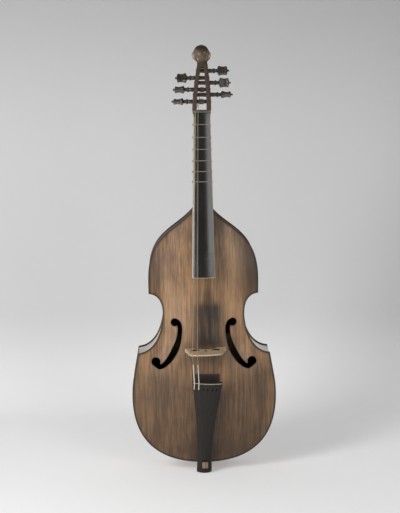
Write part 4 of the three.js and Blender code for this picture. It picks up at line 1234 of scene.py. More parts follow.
@dataclass
class Lines:
    """The lines that the neck, the strings, the bridge and the tailpiece share."""

    box: SoundBox
    neck_length: float = 262.6
    over_belly: float = 182
    nut_height: float = 4.4
    nut_half: float = 25
    nut_crown: float = 3.5
    nut_spacing: float = 6.7
    nut_action: float = 2.4
    end_action: float = 7.5
    board_end_half: float = 31.5
    slim_half: float = 23.3
    flare: float = 14
    board_end_crown: float = 5.5
    board_thickness: Flat = (9, 13)
    bridge_x: float = 4
    bridge_z: float = 341
    bridge_height: float = 85
    bridge_crown: float = 9
    bridge_top_half: float = 42
    bridge_spacing: float = 13
    box_lean: float = 20
    tail_foot: Spot = (-3.5, -36, 0.6)
    tail_lean: float = 8
    tail_skew: float = 2.5
    string_count: int = 6

    def __post_init__(self) -> None:
        """Works out the heights, the board's ends and the two tilted frames."""
        self.nut_low = self.box.top_z + self.neck_length
        self.nut_high = self.nut_low + self.nut_height
        self.board_end = self.box.top_z - self.over_belly
        self.flare_z = self.nut_low - self.flare
        self.crown_y = self.box.front(self.bridge_x, self.bridge_z) - self.bridge_height
        near = self.string_y(self.nut_low) + self.nut_action
        far = self.string_y(self.board_end) + self.end_action
        self.board_ys = (near, far)
        self.slope = (near - far) / (self.nut_low - self.board_end)
        place = Matrix.Translation((0, self.neck_front(self.nut_high), self.nut_high + SEAT_GAP))
        self.box_frame = place @ Matrix.Rotation(-radians(self.box_lean), 4, "X")
        turn = Matrix.Rotation(radians(self.tail_lean), 4, "X")
        turn @= Matrix.Rotation(radians(self.tail_skew), 4, "Y")
        self.tail_frame = Matrix.Translation(self.tail_foot) @ turn

    def offset(self, i: int) -> float:
        """How many spacings a string lies from the middle."""
        return i - (self.string_count - 1) / 2

    def string_y(self, z: float) -> float:
        """The plane of the strings at a height."""
        return mix(self.crown_y, 0, share(z, self.bridge_z, self.nut_high))

    def part(self, z: float) -> float:
        """How far down the fingerboard a height lies."""
        return (self.nut_low - z) / (self.nut_low - self.board_end)

    def board_half(self, z: float) -> float:
        """Half the fingerboard's width at a height, flared below the nut.

        Args:
            z: the height.

        Returns:
            Half the width.
        """
        if z > self.flare_z:
            return mix(self.slim_half, self.nut_half, share(z, self.flare_z, self.nut_low))
        return mix(self.slim_half, self.board_end_half, share(z, self.flare_z, self.board_end))

    def board_top(self, z: float) -> float:
        """The fingerboard's top line at a height."""
        return mix(*self.board_ys, self.part(z))

    def board_crown(self, z: float) -> float:
        """How far the fingerboard falls away at its edges."""
        return mix(self.nut_crown, self.board_end_crown, self.part(z))

    def board_back(self, z: float) -> float:
        """The fingerboard's underside at a height."""
        return self.board_top(z) + mix(*self.board_thickness, self.part(z))

    def neck_front(self, z: float) -> float:
        """The neck's front face at a height."""
        return self.board_back(z) + SEAT_GAP

    def bridge_top(self, x: float) -> float:
        """The bridge's top edge, towards the strings."""
        away = (x - self.bridge_x) / self.bridge_top_half
        return self.crown_y + self.bridge_crown * away**2

    def nut_top(self, x: float) -> float:
        """The nut's top edge."""
        return self.nut_crown * (x / self.nut_half) ** 2

    def top_arc(self, z: float, steps: int) -> list[Vector]:
        """Points across the fingerboard's top at a height.

        Args:
            z: their height.
            steps: how many steps they make.

        Returns:
            The points.
        """
        half, top, crown = self.board_half(z), self.board_top(z), self.board_crown(z)
        shares = [2 * k / steps - 1 for k in range(steps + 1)]
        return [Vector((s * half, top + crown * s**2, z)) for s in shares]


@dataclass
class Neck:
    """The neck, its fingerboard and the six tied frets."""

    lines: Lines
    heel_length: float = 67
    heel_reach: float = 74
    top_depth: float = 18
    low_depth: float = 25
    heel_power: float = 2.4
    back_power: float = 0.75
    gut_radius: float = 0.5
    knot_reach: float = 1.7
    fret_scale: float = 650
    fret_count: int = 6

    def depth(self, z: float) -> float:
        """How thick the neck is.

        Args:
            z: the height.

        Returns:
            The thickness, which swells into the heel.
        """
        lines = self.lines
        root = lines.box.top_z + SEAT_GAP
        slim = mix(self.top_depth, self.low_depth, share(z, lines.nut_high, root))
        reach = self.heel_reach - lines.neck_front(root)
        heel = lines.box.top_z + self.heel_length
        return mix(slim, reach, share(z, heel, root) ** self.heel_power)

    def back_arc(self, z: float, steps: int) -> list[Vector]:
        """Points round the back of the neck, from its treble edge to its bass edge.

        Args:
            z: their height.
            steps: how many steps they make.

        Returns:
            The points.
        """
        half, front, depth = self.lines.board_half(z), self.lines.neck_front(z), self.depth(z)
        points = []
        for k in range(steps + 1):
            angle = pi * k / steps
            swell = abs(sin(angle)) ** self.back_power
            points.append(Vector((half * cos(angle), front + depth * swell, z)))
        return points

    def shaft(self) -> Mesh:
        """The neck with its heel.

        Returns:
            The neck.
        """
        lines = self.lines
        root, heel = lines.box.top_z + SEAT_GAP, lines.box.top_z + self.heel_length
        zs = [lines.nut_high, lines.nut_low] + [lines.nut_low - lines.flare * k / 4 for k in range(1, 4)]
        zs += [mix(lines.flare_z, heel, k / 12) for k in range(12)]
        zs += [mix(heel, root, sin(pi / 2 * k / 30)) for k in range(31)]
        bm = ring_mesh([self.back_arc(z, 44) for z in zs])
        return ease(bm, 0.8, 50)

    def board(self) -> Mesh:
        """The fingerboard with its rounded edges.

        Returns:
            The board.
        """
        lines = self.lines
        rings = []
        high = lines.nut_low - SEAT_GAP
        zs = [mix(high, lines.flare_z, k / 4) for k in range(4)]
        zs += [mix(lines.flare_z, lines.board_end, k / 24) for k in range(25)]
        for z in zs:
            half, back = lines.board_half(z), lines.board_back(z)
            corners = Vector((-half, back, z)), Vector((half, back, z))
            rings.append([corners[0], *lines.top_arc(z, 32), corners[1]])
        return ease(ring_mesh(rings), 2.6, 50, 5)

    def edge_distance(self, spot: Vector) -> float:
        """How far a place of the fingerboard lies from its long edges and its lower end."""
        lines = self.lines
        return min(lines.board_half(spot.z) - abs(spot.x), spot.z - lines.board_end)

    def loop_path(self, height: float, out: float) -> list[Vector]:
        """The line of one turn of gut, square to the fingerboard and some way off its surface.

        Args:
            height: where it crosses the board.
            out: how far it lies off.

        Returns:
            The closed line.
        """
        def section(z: float) -> list[Vector]:
            """The outline of the neck and the fingerboard at a height."""
            return [*self.lines.top_arc(z, 24), *self.back_arc(z, 30)]

        spots = section(height)
        for _ in range(4):
            levels = [height - self.lines.slope * (p.y - self.lines.board_top(p.z)) for p in spots]
            spots = [section(z)[i] for i, z in enumerate(levels)]
        path = []
        for i, spot in enumerate(spots):
            before, after = spots[i - 1], spots[(i + 1) % len(spots)]
            into, onward = (spot - before).xy.normalized(), (after - spot).xy.normalized()
            normal = Vector((into.y + onward.y, -into.x - onward.x)).normalized()
            stretch = out / max(normal.dot(Vector((into.y, -into.x))), 0.7)
            path.append(spot + Vector((normal.x, normal.y, 0)) * stretch)
        for _ in range(2):
            pairs = list(zip(path, [*path[1:], path[0]]))
            path = [a.lerp(b, part) for a, b in pairs for part in (0.25, 0.75)]
        return path

    def fret(self, height: float) -> Mesh:
        """A fret: gut passed twice round the neck and knotted at the bass edge.

        Args:
            height: where it crosses the board.

        Returns:
            The fret.
        """
        made = bmesh.new()
        for side in Side:
            shift = side.value * self.gut_radius * 1.04
            path = self.loop_path(height + shift, self.gut_radius + 0.15)
            self.add(made, tube_mesh(path, [self.gut_radius] * len(path), 10, True))
        lines = self.lines
        fallen = lines.board_top(height) + lines.board_crown(height)
        edge = Vector((-lines.board_half(height), fallen, height))
        centre = edge + Vector((-self.gut_radius * 2.4, 2.6, 0))
        reach, thick = self.knot_reach, self.gut_radius
        knot = []
        for k in range(49):
            turn = TURN * k / 48
            across = (0.75 + 0.25 * cos(3 * turn)) * reach
            spot = (sin(3 * turn) * thick, across * cos(2 * turn), across * sin(2 * turn))
            knot.append(centre + Vector(spot))
        self.add(made, tube_mesh(knot[:-1], [thick * 0.85] * 48, 8, True))
        for way in (-1, 1):
            tail = [centre + Vector((0, reach * way * 0.6, way * reach * 0.6))]
            tail += [tail[0] + Vector((-0.5 * k, way * 0.9 * k, way * 0.25 * k)) for k in (1, 2, 3)]
            self.add(made, tube_mesh(tail, [thick * 0.8] * 4, 8))
        return made

    @staticmethod
    def add(whole: Mesh, part: Mesh) -> None:
        """Adds a mesh to another and frees it.

        Args:
            whole: the mesh that grows.
            part: the mesh that is added.
        """
        data = bpy.data.meshes.new("strand")
        part.to_mesh(data)
        part.free()
        whole.from_mesh(data)
        bpy.data.meshes.remove(data)

    def build(self, finishes: Finishes) -> None:
        """Makes the neck, the fingerboard and the frets.

        Args:
            finishes: every finish.
        """
        piece_from(self.shaft(), "neck_shaft", finishes.neck, ["neck"], crease=50)
        bm = self.board()
        board = piece_from(bm, "playing_board", finishes.dark, ["fingerboard"], crease=60)
        note_values(board, "edge_mm", self.edge_distance)
        for n in range(1, self.fret_count + 1):
            height = self.lines.nut_high - self.fret_scale * (1 - 2 ** (-n / 12))
            fret = self.fret(height)
            piece_from(fret, f"fret_{n}_gut", finishes.gut, [f"fret_{n}"], f"sliding_fret_{n}")


@dataclass
class PegBox:
    """The pegbox and its six pegs, set out along the box and back from its front face."""

    lines: Lines
    length: float = 137
    bottom_half: float = 26
    top_half: float = 14.3
    top_shift: float = 4
    side_power: float = 1.7
    cheek_bottom: float = 12.5
    cheek_top: float = 10.6
    opening: Flat = (3.5, 129.5)
    neck_depth: float = 18
    bulge: Flat = (34, 42)
    top_depth: float = 24
    peg_ats: Row = (32.2, 51.8, 67, 86.5, 101, 121.6)
    peg_pushes: Row = (3.3, 0, 3.4, 2.6, 5.6, 3.1)
    peg_depth: float = 14
    near_radius: float = 5.9
    far_radius: float = 5
    far_end: float = 1.2
    collar_at: float = 16.8
    collar_length: float = 5
    collar_radius: float = 7.2
    neck_radius: float = 5.2
    neck_run: float = 5
    head_length: float = 30
    head_half: float = 14
    knob_radius: float = 3.1
    knob_length: float = 4.5
    turns: Row = (90, 86, 82, 8, -6, 0)
    knob: Table = (
        (0.12, 0.78), (0.25, 0.72), (0.4, 0.85), (0.55, 1), (0.72, 0.98), (0.88, 0.8), (1, 0.4),
    )

    def half(self, v: float) -> float:
        """Half the box's width at a place along it."""
        return mix(self.bottom_half, self.top_half, share(v, 0, self.length) ** self.side_power)

    def shift(self, v: float) -> float:
        """How far the box's middle lies to the treble side at a place along it."""
        return self.top_shift * share(v, 0, self.length)

    def open_half(self, v: float) -> float:
        """Half the opening's width at a place along the box."""
        return self.half(v) - mix(self.cheek_bottom, self.cheek_top, share(v, 0, self.length))

    def places(self) -> list[tuple[str, Side, float]]:
        """Each peg's name, side and place along the box, from the lowest up.

        Returns:
            The six.
        """
        made = []
        for i, v in enumerate(self.peg_ats):
            side = Side.BASS if i % 2 == 0 else Side.TREBLE
            where = "left" if side is Side.BASS else "right"
            made.append((f"{where}_{3 - i // 2}", side, v))
        return made

    def peg_frame(self, v: float, side: Side, degrees: float) -> Matrix:
        """Where a peg stands in the pegbox.

        Args:
            v: its place along the box.
            side: the side of its head.
            degrees: how far it is turned.

        Returns:
            Its frame, in millimetres.
        """
        place = Matrix.Translation((self.shift(v), self.peg_depth, v))
        turn = Matrix.Rotation(radians(degrees), 4, "X")
        return self.lines.box_frame @ place @ turn @ Matrix.Diagonal((side.value, 1, 1, 1))

    def case(self) -> Mesh:
        """The open box that holds the pegs.

        Returns:
            The box with its six bores.
        """
        tilt = radians(self.lines.box_lean)
        low = self.neck_depth * cos(tilt)
        top = (self.top_depth, self.length + self.top_depth * tan(tilt))
        deep, at = self.bulge
        points = [(low, low * tan(tilt)), (mix(low, deep, 0.75), at * 0.5), (deep, at)]
        points += [(mix(deep, self.top_depth, 0.6), mix(at, self.length, 0.6)), top]
        back = smooth_line(points, 44)
        side = slab_mesh([[(0, 0), *back, (0, self.length)]], -40, 40)
        side = moved(side, SIDEWAYS)
        low_v, high_v = self.opening
        radius = self.open_half(high_v)
        round_v = high_v - radius
        outer = [(self.lines.nut_half, -8), (self.lines.nut_half, 0)]
        outer += [(self.half(v), v) for v in (mix(low_v, self.length, k / 28) for k in range(29))]
        outer += [(self.top_half, self.length + self.top_depth)]
        inner = [(self.open_half(v), v) for v in (mix(low_v, round_v, k / 24) for k in range(24))]
        inner += [(x * 1.25, v) for x, v in round_bit((0, round_v), radius, 36, 60, 6)]
        loops = []
        for line in (outer, inner):
            loops.append([(self.shift(v) - x, v) for x, v in reversed(line)])
            loops[-1] += [(self.shift(v) + x, v) for x, v in line]
        front = moved(slab_mesh(loops, -60, 20), UPRIGHT)
        case = ease(joined(front, side, Join.KEEP), 1.1, 45, 3)
        inverse = self.lines.box_frame.inverted()
        for _, side_of, v in self.places():
            bore = self.shank(v, SEAT_GAP)
            case = joined(case, moved(bore, in_metres(inverse @ self.peg_frame(v, side_of, 0))), Join.CUT)
        return moved(case, in_metres(self.lines.box_frame))

    def shank(self, v: float, clearance: float) -> Mesh:
        """The tapered part of a peg.

        Args:
            v: the peg's place along the box.
            clearance: how much thicker it is than the peg.

        Returns:
            The shank, along X.
        """
        half = self.half(v)
        ends = [(-half - self.far_end - 8, self.far_radius), (-half, self.far_radius)]
        ends += [(half, self.near_radius), (half + 8, self.near_radius)]
        return self.turned([(x, r + clearance) for x, r in ends], 48)

    @staticmethod
    def turned(profile: Sequence[Flat], steps: int) -> Mesh:
        """A solid spun about X from its profile.

        Args:
            profile: its places and radii.
            steps: how many facets it has round.

        Returns:
            The solid.
        """
        bm = bmesh.new()
        line = [(profile[0][0], 0.0), *profile, (profile[-1][0], 0.0)]
        verts = [bm.verts.new((x * MM, r * MM, 0)) for x, r in line]
        edges = [bm.edges.new(pair) for pair in zip(verts, verts[1:])]
        bmesh.ops.spin(
            bm, geom=[*verts, *edges], cent=(0, 0, 0), axis=(1, 0, 0), angle=TURN, steps=steps,
            use_merge=True,
        )
        bmesh.ops.remove_doubles(bm, verts=bm.verts, dist=MM * 1e-3)
        bmesh.ops.recalc_face_normals(bm, faces=bm.faces)
        return bm

    def peg(self, v: float, push: float) -> Mesh:
        """A peg: tapered shank, collar, narrow neck, waisted head and knob, in one skin.

        Args:
            v: its place along the box.
            push: how much further in it is pushed.

        Returns:
            The peg, along X.
        """
        half = self.half(v)
        collar = half + self.collar_at - push
        after = collar + self.collar_length
        start = after + self.neck_run
        end = start + self.head_length
        rows: list[tuple[float, float, float, float]] = []

        def ring(x: float, radius: float) -> None:
            """Adds a round ring."""
            rows.append((x, radius, radius, 2.0))

        tip = -half - self.far_end
        for x, radius in ((0, 0.55), (0.25, 0.86), (0.8, 1.0)):
            ring(tip + x, self.far_radius * radius)
        for k in range(13):
            ring(mix(tip + 1.2, half, k / 12), mix(self.far_radius, self.near_radius, k / 12))
        ring(mix(half, collar, 0.5), self.near_radius * 0.96)
        beads = [(-1.6, 0.74), (-1.2, 0.68), (-0.8, 0.74), (-0.3, 0.8), (0.05, 0.97), (0.5, 1.0)]
        beads += [(1.4, 0.99), (1.7, 0.9), (2.0, 0.99), (3.4, 1.0), (4.1, 0.96), (4.6, 0.82), (5.0, 0.6)]
        for x, radius in beads:
            ring(collar + x / 5 * self.collar_length, self.collar_radius * radius)
        ring(after + self.neck_run * 0.3, self.neck_radius)
        ring(after + self.neck_run * 0.8, self.neck_radius * 1.02)
        height = [(0, 0.3), (0.05, 0.47), (0.1, 0.7), (0.16, 0.92), (0.2, 1), (0.25, 0.97), (0.32, 0.87)]
        height += [(0.42, 0.85), (0.52, 0.83), (0.64, 0.84), (0.76, 0.87), (0.84, 0.9), (0.9, 0.9)]
        height += [(0.95, 0.72), (0.985, 0.45), (1, 0.28)]
        thick = [(0, 0.27), (0.06, 0.43), (0.12, 0.56), (0.2, 0.53), (0.3, 0.45), (0.45, 0.35), (0.6, 0.3)]
        thick += [(0.75, 0.35), (0.88, 0.44), (0.94, 0.4), (1, 0.21)]
        for k in range(41):
            along = 0.5 - 0.5 * cos(pi * k / 40)
            power = mix(2.0, 4.2, min(share(along, 0, 0.16), 1 - share(along, 0.93, 1)))
            high, deep = read_off(height, along), read_off(thick, along)
            rows.append((mix(start, end, along), high * self.head_half, deep * self.head_half, power))
        for x, radius in self.knob:
            ring(end + x * self.knob_length, self.knob_radius * radius)
        rings = []
        for x, high, deep, power in rows:
            points = []
            for k in range(40):
                angle = TURN * k / 40
                c, s = cos(angle), sin(angle)
                up = copysign(abs(c) ** (2 / power), c) * high
                out = copysign(abs(s) ** (2 / power), s) * deep
                hollow = (power - 2) / 2.2 * 0.16 * (1 - min(abs(up) / max(high, 0.1), 1) ** 2)
                points.append(Vector((x, out * (1 - hollow), up)))
            rings.append(points)
        return ring_mesh(rings)

    def build(self, finishes: Finishes) -> None:
        """Makes the pegbox and the pegs.

        Args:
            finishes: every finish.
        """
        piece_from(self.case(), "peg_case", finishes.neck, ["pegbox"], crease=35)
        for (name, side, v), push, degrees in zip(self.places(), self.peg_pushes, self.turns):
            bm = moved(self.peg(v, push), in_metres(self.peg_frame(v, side, degrees)))
            node = f"peg_{name}"
            piece_from(bm, f"{node}_wood", finishes.peg, [node], f"turning_{node}", 60)


@dataclass
class Bridge:
    """The bridge with its feet, two eyes and drop-shaped hole."""

    lines: Lines
    turn: float = 1.5
    foot_half: float = 56.5
    foot_width: float = 25
    arch: float = 17
    foot_thickness: float = 9
    top_thickness: float = 3.6
    notch: float = 0.9
    side: Table = (
        (1, 0.09), (0.94, 0.125), (0.87, 0.27), (0.92, 0.36), (0.86, 0.43), (0.79, 0.6), (0.84, 0.7),
    )
    eye: Table = (
        (0.27, 0.4), (0.32, 0.27), (0.46, 0.16), (0.62, 0.2), (0.7, 0.3), (0.62, 0.42), (0.46, 0.36),
    )
    drop: Table = (
        (0, 0.34), (0.05, 0.38), (0.07, 0.43), (0.05, 0.49), (0, 0.46), (-0.05, 0.49), (-0.07, 0.43),
        (-0.05, 0.38),
    )

    def holes(self) -> list[list[Flat]]:
        """The eyes and the drop.

        Returns:
            Their outlines, from the bridge's middle and foot.
        """
        height, reach = self.lines.bridge_height, self.foot_half
        made = []
        for side in Side:
            made.append([(side.value * out * reach, up * height) for out, up in self.eye])
        made.append([(out * reach, up * height) for out, up in self.drop])
        return [smooth_line([*loop, loop[0]], 42)[:-1] for loop in made]

    def plate(self) -> Mesh:
        """The bridge standing on the belly.

        Returns:
            The bridge in its place.
        """
        height, top = self.lines.bridge_height, self.lines.bridge_top_half
        crown = self.lines.bridge_crown
        inner = self.foot_half - self.foot_width
        under = [(0, self.arch), (inner * 0.55, self.arch * 0.8), (inner * 0.9, self.arch * 0.3)]
        right = smooth_line([*under, (inner, -8)], 18)
        right += [(self.foot_half, -8)]
        right += smooth_line([(out * self.foot_half, up * height) for out, up in self.side], 36)
        right += [(top, height - crown * 1.4)]
        right += [(s * top, height - crown * s**2) for s in (k / 12 for k in range(12, 0, -1))]
        right += [(0, height)]
        outline = right + [(-x, y) for x, y in reversed(right[1:-1])]
        half = self.foot_thickness / 2
        bm = ease(slab_mesh([outline, *self.holes()], -half, half), 0.7, 50, 3)
        taper = [(-10, 1), (height * 0.15, 1), (height, self.top_thickness / self.foot_thickness)]
        for vert in bm.verts:
            vert.co.z *= read_off(taper, vert.co.y / MM)
        lines, box = self.lines, self.lines.box
        base = box.front(lines.bridge_x, lines.bridge_z)
        stand = Matrix.Translation((lines.bridge_x, base, lines.bridge_z))
        stand @= Matrix.Rotation(-radians(self.turn), 4, "Y")
        bm = moved(bm, in_metres(stand @ Matrix.Diagonal((1, -1, 1, 1))))
        rings = []
        for k in range(9):
            z = lines.bridge_z + (k - 4) * 3
            xs = [lines.bridge_x + m * 3 for m in range(-24, 25)]
            ring = [Vector((x, box.front(x, z) - SEAT_GAP, z)) for x in xs]
            rings.append([*ring, Vector((xs[-1], 12, z)), Vector((xs[0], 12, z))])
        bm = joined(bm, ring_mesh(rings), Join.CUT)
        for i in range(lines.string_count):
            x = lines.offset(i) * lines.bridge_spacing
            spot = Vector((x, lines.bridge_top(x) - self.notch * 0.3, lines.bridge_z))
            run = Vector((0, 0.09, 1)) * 8
            bm = joined(bm, tube_mesh([spot - run, spot, spot + run], [self.notch] * 3, 16), Join.CUT)
        return bm

    def build(self, finishes: Finishes) -> None:
        """Makes the bridge.

        Args:
            finishes: every finish.
        """
        bm = self.plate()
        plate = piece_from(bm, "bridge_plate", finishes.bridge, ["bridge"], crease=35)
        lines = self.lines
        base = lines.box.front(lines.bridge_x, lines.bridge_z)

        def in_hole(spot: Vector, normal: Vector) -> bool:
            """Whether a face is the wall of an opening.

            Args:
                spot: the face's middle.
                normal: its normal.

            Returns:
                Whether it is.
            """
            up = (base - spot.y) / lines.bridge_height
            reach = abs(spot.x - lines.bridge_x) / self.foot_half
            return abs(normal.z) < 0.35 and 0.12 < up < 0.52 and reach < 0.74

        line_faces(plate, finishes.shaded, in_hole)


@dataclass
class Tail:
    """The tailpiece with its pale saddle, and the hook bar that holds it."""

    lines: Lines
    saddle_at: float = 259
    end_round: float = 1.5
    halves: Row = (19.5, 19.3, 19.3, 25.4, 41)
    stations: Row = (0, 0.09, 0.2, 0.55, 1)
    edge: float = 6
    crown: float = 8
    hole_at: float = 240
    hole_spacing: float = 12.3
    hole_shift: float = -4.7
    hole_radius: float = 2.0
    saddle_half: float = 39.5
    saddle_width: float = 2
    saddle_depth: float = 6
    saddle_proud: float = 1.2
    bar_half: float = 19
    bar_front: float = -17
    tenon_half: float = 8.5
    tenon_zs: Flat = (15.3, 32)
    tenon_proud: float = 3
    slot_rise: float = 6
    slot_side: float = 1

    def __post_init__(self) -> None:
        """Draws the line of the tailpiece's side."""
        places = [s * self.saddle_at for s in self.stations]
        self.side_line = smooth_line(list(zip(places, self.halves)), 80)

    def half(self, s: float) -> float:
        """Half the tailpiece's width at a place along it."""
        return read_off(self.side_line, s)

    def top(self, x: float, s: float) -> float:
        """The tailpiece's front face, in its own frame."""
        return self.crown * (x / self.half(s)) ** 2

    def hole_x(self, i: int) -> float:
        """Where a string's hole lies across the tailpiece."""
        return self.hole_shift + self.lines.offset(i) * self.hole_spacing

    def saddle_block(self, clearance: float) -> Mesh:
        """The room that the saddle takes in the tailpiece, in its own frame.

        Args:
            clearance: how much larger it is than the saddle.

        Returns:
            The block.
        """
        half = self.saddle_half + clearance
        xs = [mix(-half, half, k / 24) for k in range(25)]
        top = [(x, self.top(x, self.saddle_at) - self.saddle_proud - clearance) for x in xs]
        deep = [(x, y + self.saddle_depth + 2 * clearance) for x, y in reversed(top)]
        middle = self.saddle_at - self.saddle_width
        reach = self.saddle_width / 2 + clearance
        return slab_mesh([[*top, *deep]], middle - reach, middle + reach)

    def board(self) -> Mesh:
        """The tailpiece.

        Returns:
            The tailpiece in its place.
        """
        rings = []
        stops = [self.saddle_at * k / 64 for k in range(65)] + [self.saddle_at + self.end_round]
        for s in stops:
            half = self.half(min(s, self.saddle_at)) - max(s - self.saddle_at, 0)
            arc = [2 * k / 28 - 1 for k in range(29)]
            ring = [Vector((t * half, self.crown * t**2, s)) for t in arc]
            rear = self.crown + self.edge
            rings.append([Vector((-half, rear, s)), *ring, Vector((half, rear, s))])
        bm = ease(ring_mesh(rings), 1.4, 50, 4)
        bm = joined(bm, self.saddle_block(SEAT_GAP), Join.CUT)
        for i in range(self.lines.string_count):
            x = self.hole_x(i)
            ends = [Vector((x, y, self.hole_at)) for y in (-6, self.crown + self.edge + 6)]
            bm = joined(bm, tube_mesh(ends, [self.hole_radius] * 2, 24), Join.CUT)
        bm = moved(bm, in_metres(self.lines.tail_frame))
        width = self.tenon_half + self.slot_side
        low, high = self.tenon_zs[0] - SEAT_GAP, self.tenon_zs[1] + self.slot_rise
        slot = [(width, low), *round_bit((0, high - width), width, 0, 180, 24), (-width, low)]
        cutter = moved(slab_mesh([slot], 0, 80), UPRIGHT)
        return joined(bm, cutter, Join.CUT)

    def bar(self) -> Mesh:
        """The hook bar with its tenon.

        Returns:
            The bar.
        """
        box = self.lines.box
        plate = box.bottom_z - SEAT_GAP
        rib = box.bottom_z + box.overhang - SEAT_GAP
        rear = box.rib_depth + box.back_thickness
        deep = box.rib_depth - SEAT_GAP
        side = [(self.bar_front, 0), (rear, 0), (rear, plate), (deep, plate), (deep, rib)]
        side += [(SEAT_GAP, rib), (SEAT_GAP, plate), (self.bar_front, plate)]
        bar = slab_mesh([side], -self.bar_half, self.bar_half)
        bar = moved(bar, SIDEWAYS)
        front = self.lines.tail_foot[1] - self.edge - self.tenon_proud
        half, (low, high) = self.tenon_half, self.tenon_zs
        face = [(-half, front), (half, front), (half, -box.edge - 6), (-half, -box.edge - 6)]
        tenon = ease(slab_mesh([face], low, high), 1.2, 45, 3)
        return joined(ease(bar, 1.6, 45, 3), tenon, Join.ADD)

    def build(self, finishes: Finishes) -> None:
        """Makes the tailpiece and the hook bar."""
        piece_from(self.board(), "tail_board", finishes.tail, ["tailpiece"], crease=35)
        piece_from(self.bar(), "hook_block", finishes.hook, ["hook_bar"], crease=35)


@dataclass
class Strings:
    """The two strings that are left, with their silk wraps and the turns on their pegs."""

    lines: Lines
    pegs: PegBox
    tail: Tail
    names: tuple[str, ...] = ("bass_string", "second_string")
    radii: Row = (0.9, 0.7)
    wraps: Row = (1.6, 1.4)
    start_xs: Row = (-7, -4)
    peg_of: tuple[int, ...] = (0, 2)
    turns: int = 5
    pitch_gap: float = 0.6
    steps: int = 40
    rest_share: float = 0.3
    wrap_start: float = 314
    thread: float = 1.1

    def nut_contact(self, i: int) -> Vector:
        """Where a string lies in the nut.

        Args:
            i: which string.

        Returns:
            The place.
        """
        x = self.lines.offset(i) * self.lines.nut_spacing
        height = (self.lines.nut_low + self.lines.nut_high) / 2
        return Vector((x, self.lines.nut_top(x) - self.radii[i] * self.rest_share, height))

    def on_peg(self, i: int) -> list[Vector]:
        """A string's turns, from its end on the peg to where it leaves for the nut.

        Args:
            i: which string.

        Returns:
            The line of the turns.
        """
        v = self.pegs.places()[self.peg_of[i]][2]
        frame = self.lines.box_frame
        out = self.pegs.near_radius + SEAT_GAP + self.radii[i]
        centre = Vector((self.start_xs[i] + self.pegs.shift(v), self.pegs.peg_depth, v))
        away = frame.inverted() @ self.nut_contact(i) - centre
        away.x = 0
        arm = away.normalized() * out
        arm.rotate(Matrix.Rotation(-acos(out / away.length), 3, "X"))
        pitch = 2 * self.radii[i] + self.pitch_gap
        line = []
        for step in range(self.turns * self.steps + 1):
            turn = step / self.steps
            spoke = arm.copy()
            spoke.rotate(Matrix.Rotation(-TURN * turn, 3, "X"))
            line.append(centre + Vector((pitch * turn, 0, 0)) + spoke)
        return [frame @ spot for spot in reversed(line)]

    def corners(self, i: int) -> list[Vector]:
        """The places where a string bends, from the nut to its hole in the tailpiece.

        Args:
            i: which string.

        Returns:
            The five places.
        """
        lines, tail, radius, wrap = self.lines, self.tail, self.radii[i], self.wraps[i]
        x = lines.offset(i) * lines.bridge_spacing
        over = Vector((x, lines.bridge_top(x) - radius * self.rest_share, lines.bridge_z))
        x = tail.hole_x(i)
        seat = tail.top(x, tail.saddle_at) - tail.saddle_proud - wrap * self.rest_share
        spots = [(seat, tail.saddle_at), (tail.top(x, tail.hole_at) - wrap - SEAT_GAP, tail.hole_at)]
        spots.append((tail.crown + tail.edge - 1.0, tail.hole_at))
        return [self.nut_contact(i), over, *[lines.tail_frame @ Vector((x, y, s)) for y, s in spots]]

    def eased_line(self, points: Sequence[Vector], reach: float) -> list[Vector]:
        """A line whose corners are rounded.

        Args:
            points: the line's corners.
            reach: how far from each the bend starts.

        Returns:
            The rounded line.
        """
        made = [points[0]]
        for before, spot, after in zip(points, points[1:], points[2:]):
            near = spot + (before - spot).normalized() * min(reach, (before - spot).length * 0.45)
            far = spot + (after - spot).normalized() * min(reach, (after - spot).length * 0.45)
            for k in range(9):
                part = k / 8
                made.append(near.lerp(spot, part).lerp(spot.lerp(far, part), part))
        made.append(points[-1])
        return made

    def line(self, i: int) -> list[Vector]:
        """The whole centre line of a string."""
        turns = self.on_peg(i)
        return turns[:-1] + self.eased_line([turns[-1], *self.corners(i)], 2.4)

    def wrap(self, i: int) -> Mesh:
        """The silk wound round a string from below the bridge to its hole.

        Args:
            i: which string.

        Returns:
            The silk.
        """
        spots = self.corners(i)
        over, seat = spots[1], spots[2]
        part = (over.z - self.wrap_start) / (over.z - seat.z)
        line = self.eased_line([over.lerp(seat, part), *spots[2:]], 2.4)
        fine = []
        for first, second in zip(line, line[1:]):
            count = max(int((second - first).length / (self.thread / 6)), 1)
            fine += [first.lerp(second, k / count) for k in range(count)]
        fine.append(line[-1])
        core, full = self.radii[i] * 1.15, self.wraps[i]
        run = 0.0
        rings = []
        for k, spot in enumerate(fine):
            before, after = fine[max(k - 1, 0)], fine[min(k + 1, len(fine) - 1)]
            way = (after - before).normalized()
            run += (spot - fine[k - 1]).length if k else 0.0
            outward = Vector((1, 0, 0))
            outward = (outward - way * outward.dot(way)).normalized()
            upward = way.cross(outward)
            reach = mix(core, full, share(run, 0, 2.5))
            ring = []
            for m in range(14):
                angle = TURN * m / 14
                swell = reach * (0.93 + 0.07 * cos(TURN * run / self.thread - angle))
                ring.append(spot + (outward * cos(angle) + upward * sin(angle)) * swell)
            rings.append(ring)
        return ring_mesh(rings)

    def build(self, finishes: Finishes) -> None:
        """Makes both strings and their wraps.

        Args:
            finishes: every finish.
        """
        for i, name in enumerate(self.names):
            line = self.line(i)
            LOG.info("%s: %.0f mm long", name, sum((b - a).length for a, b in zip(line, line[1:])))
            strand = tube_mesh(line, [self.radii[i]] * len(line), 14)
            piece_from(strand, f"{name}_strand", finishes.gut, [name], crease=60)
            piece_from(self.wrap(i), f"{name}_silk", finishes.silk, crease=80)


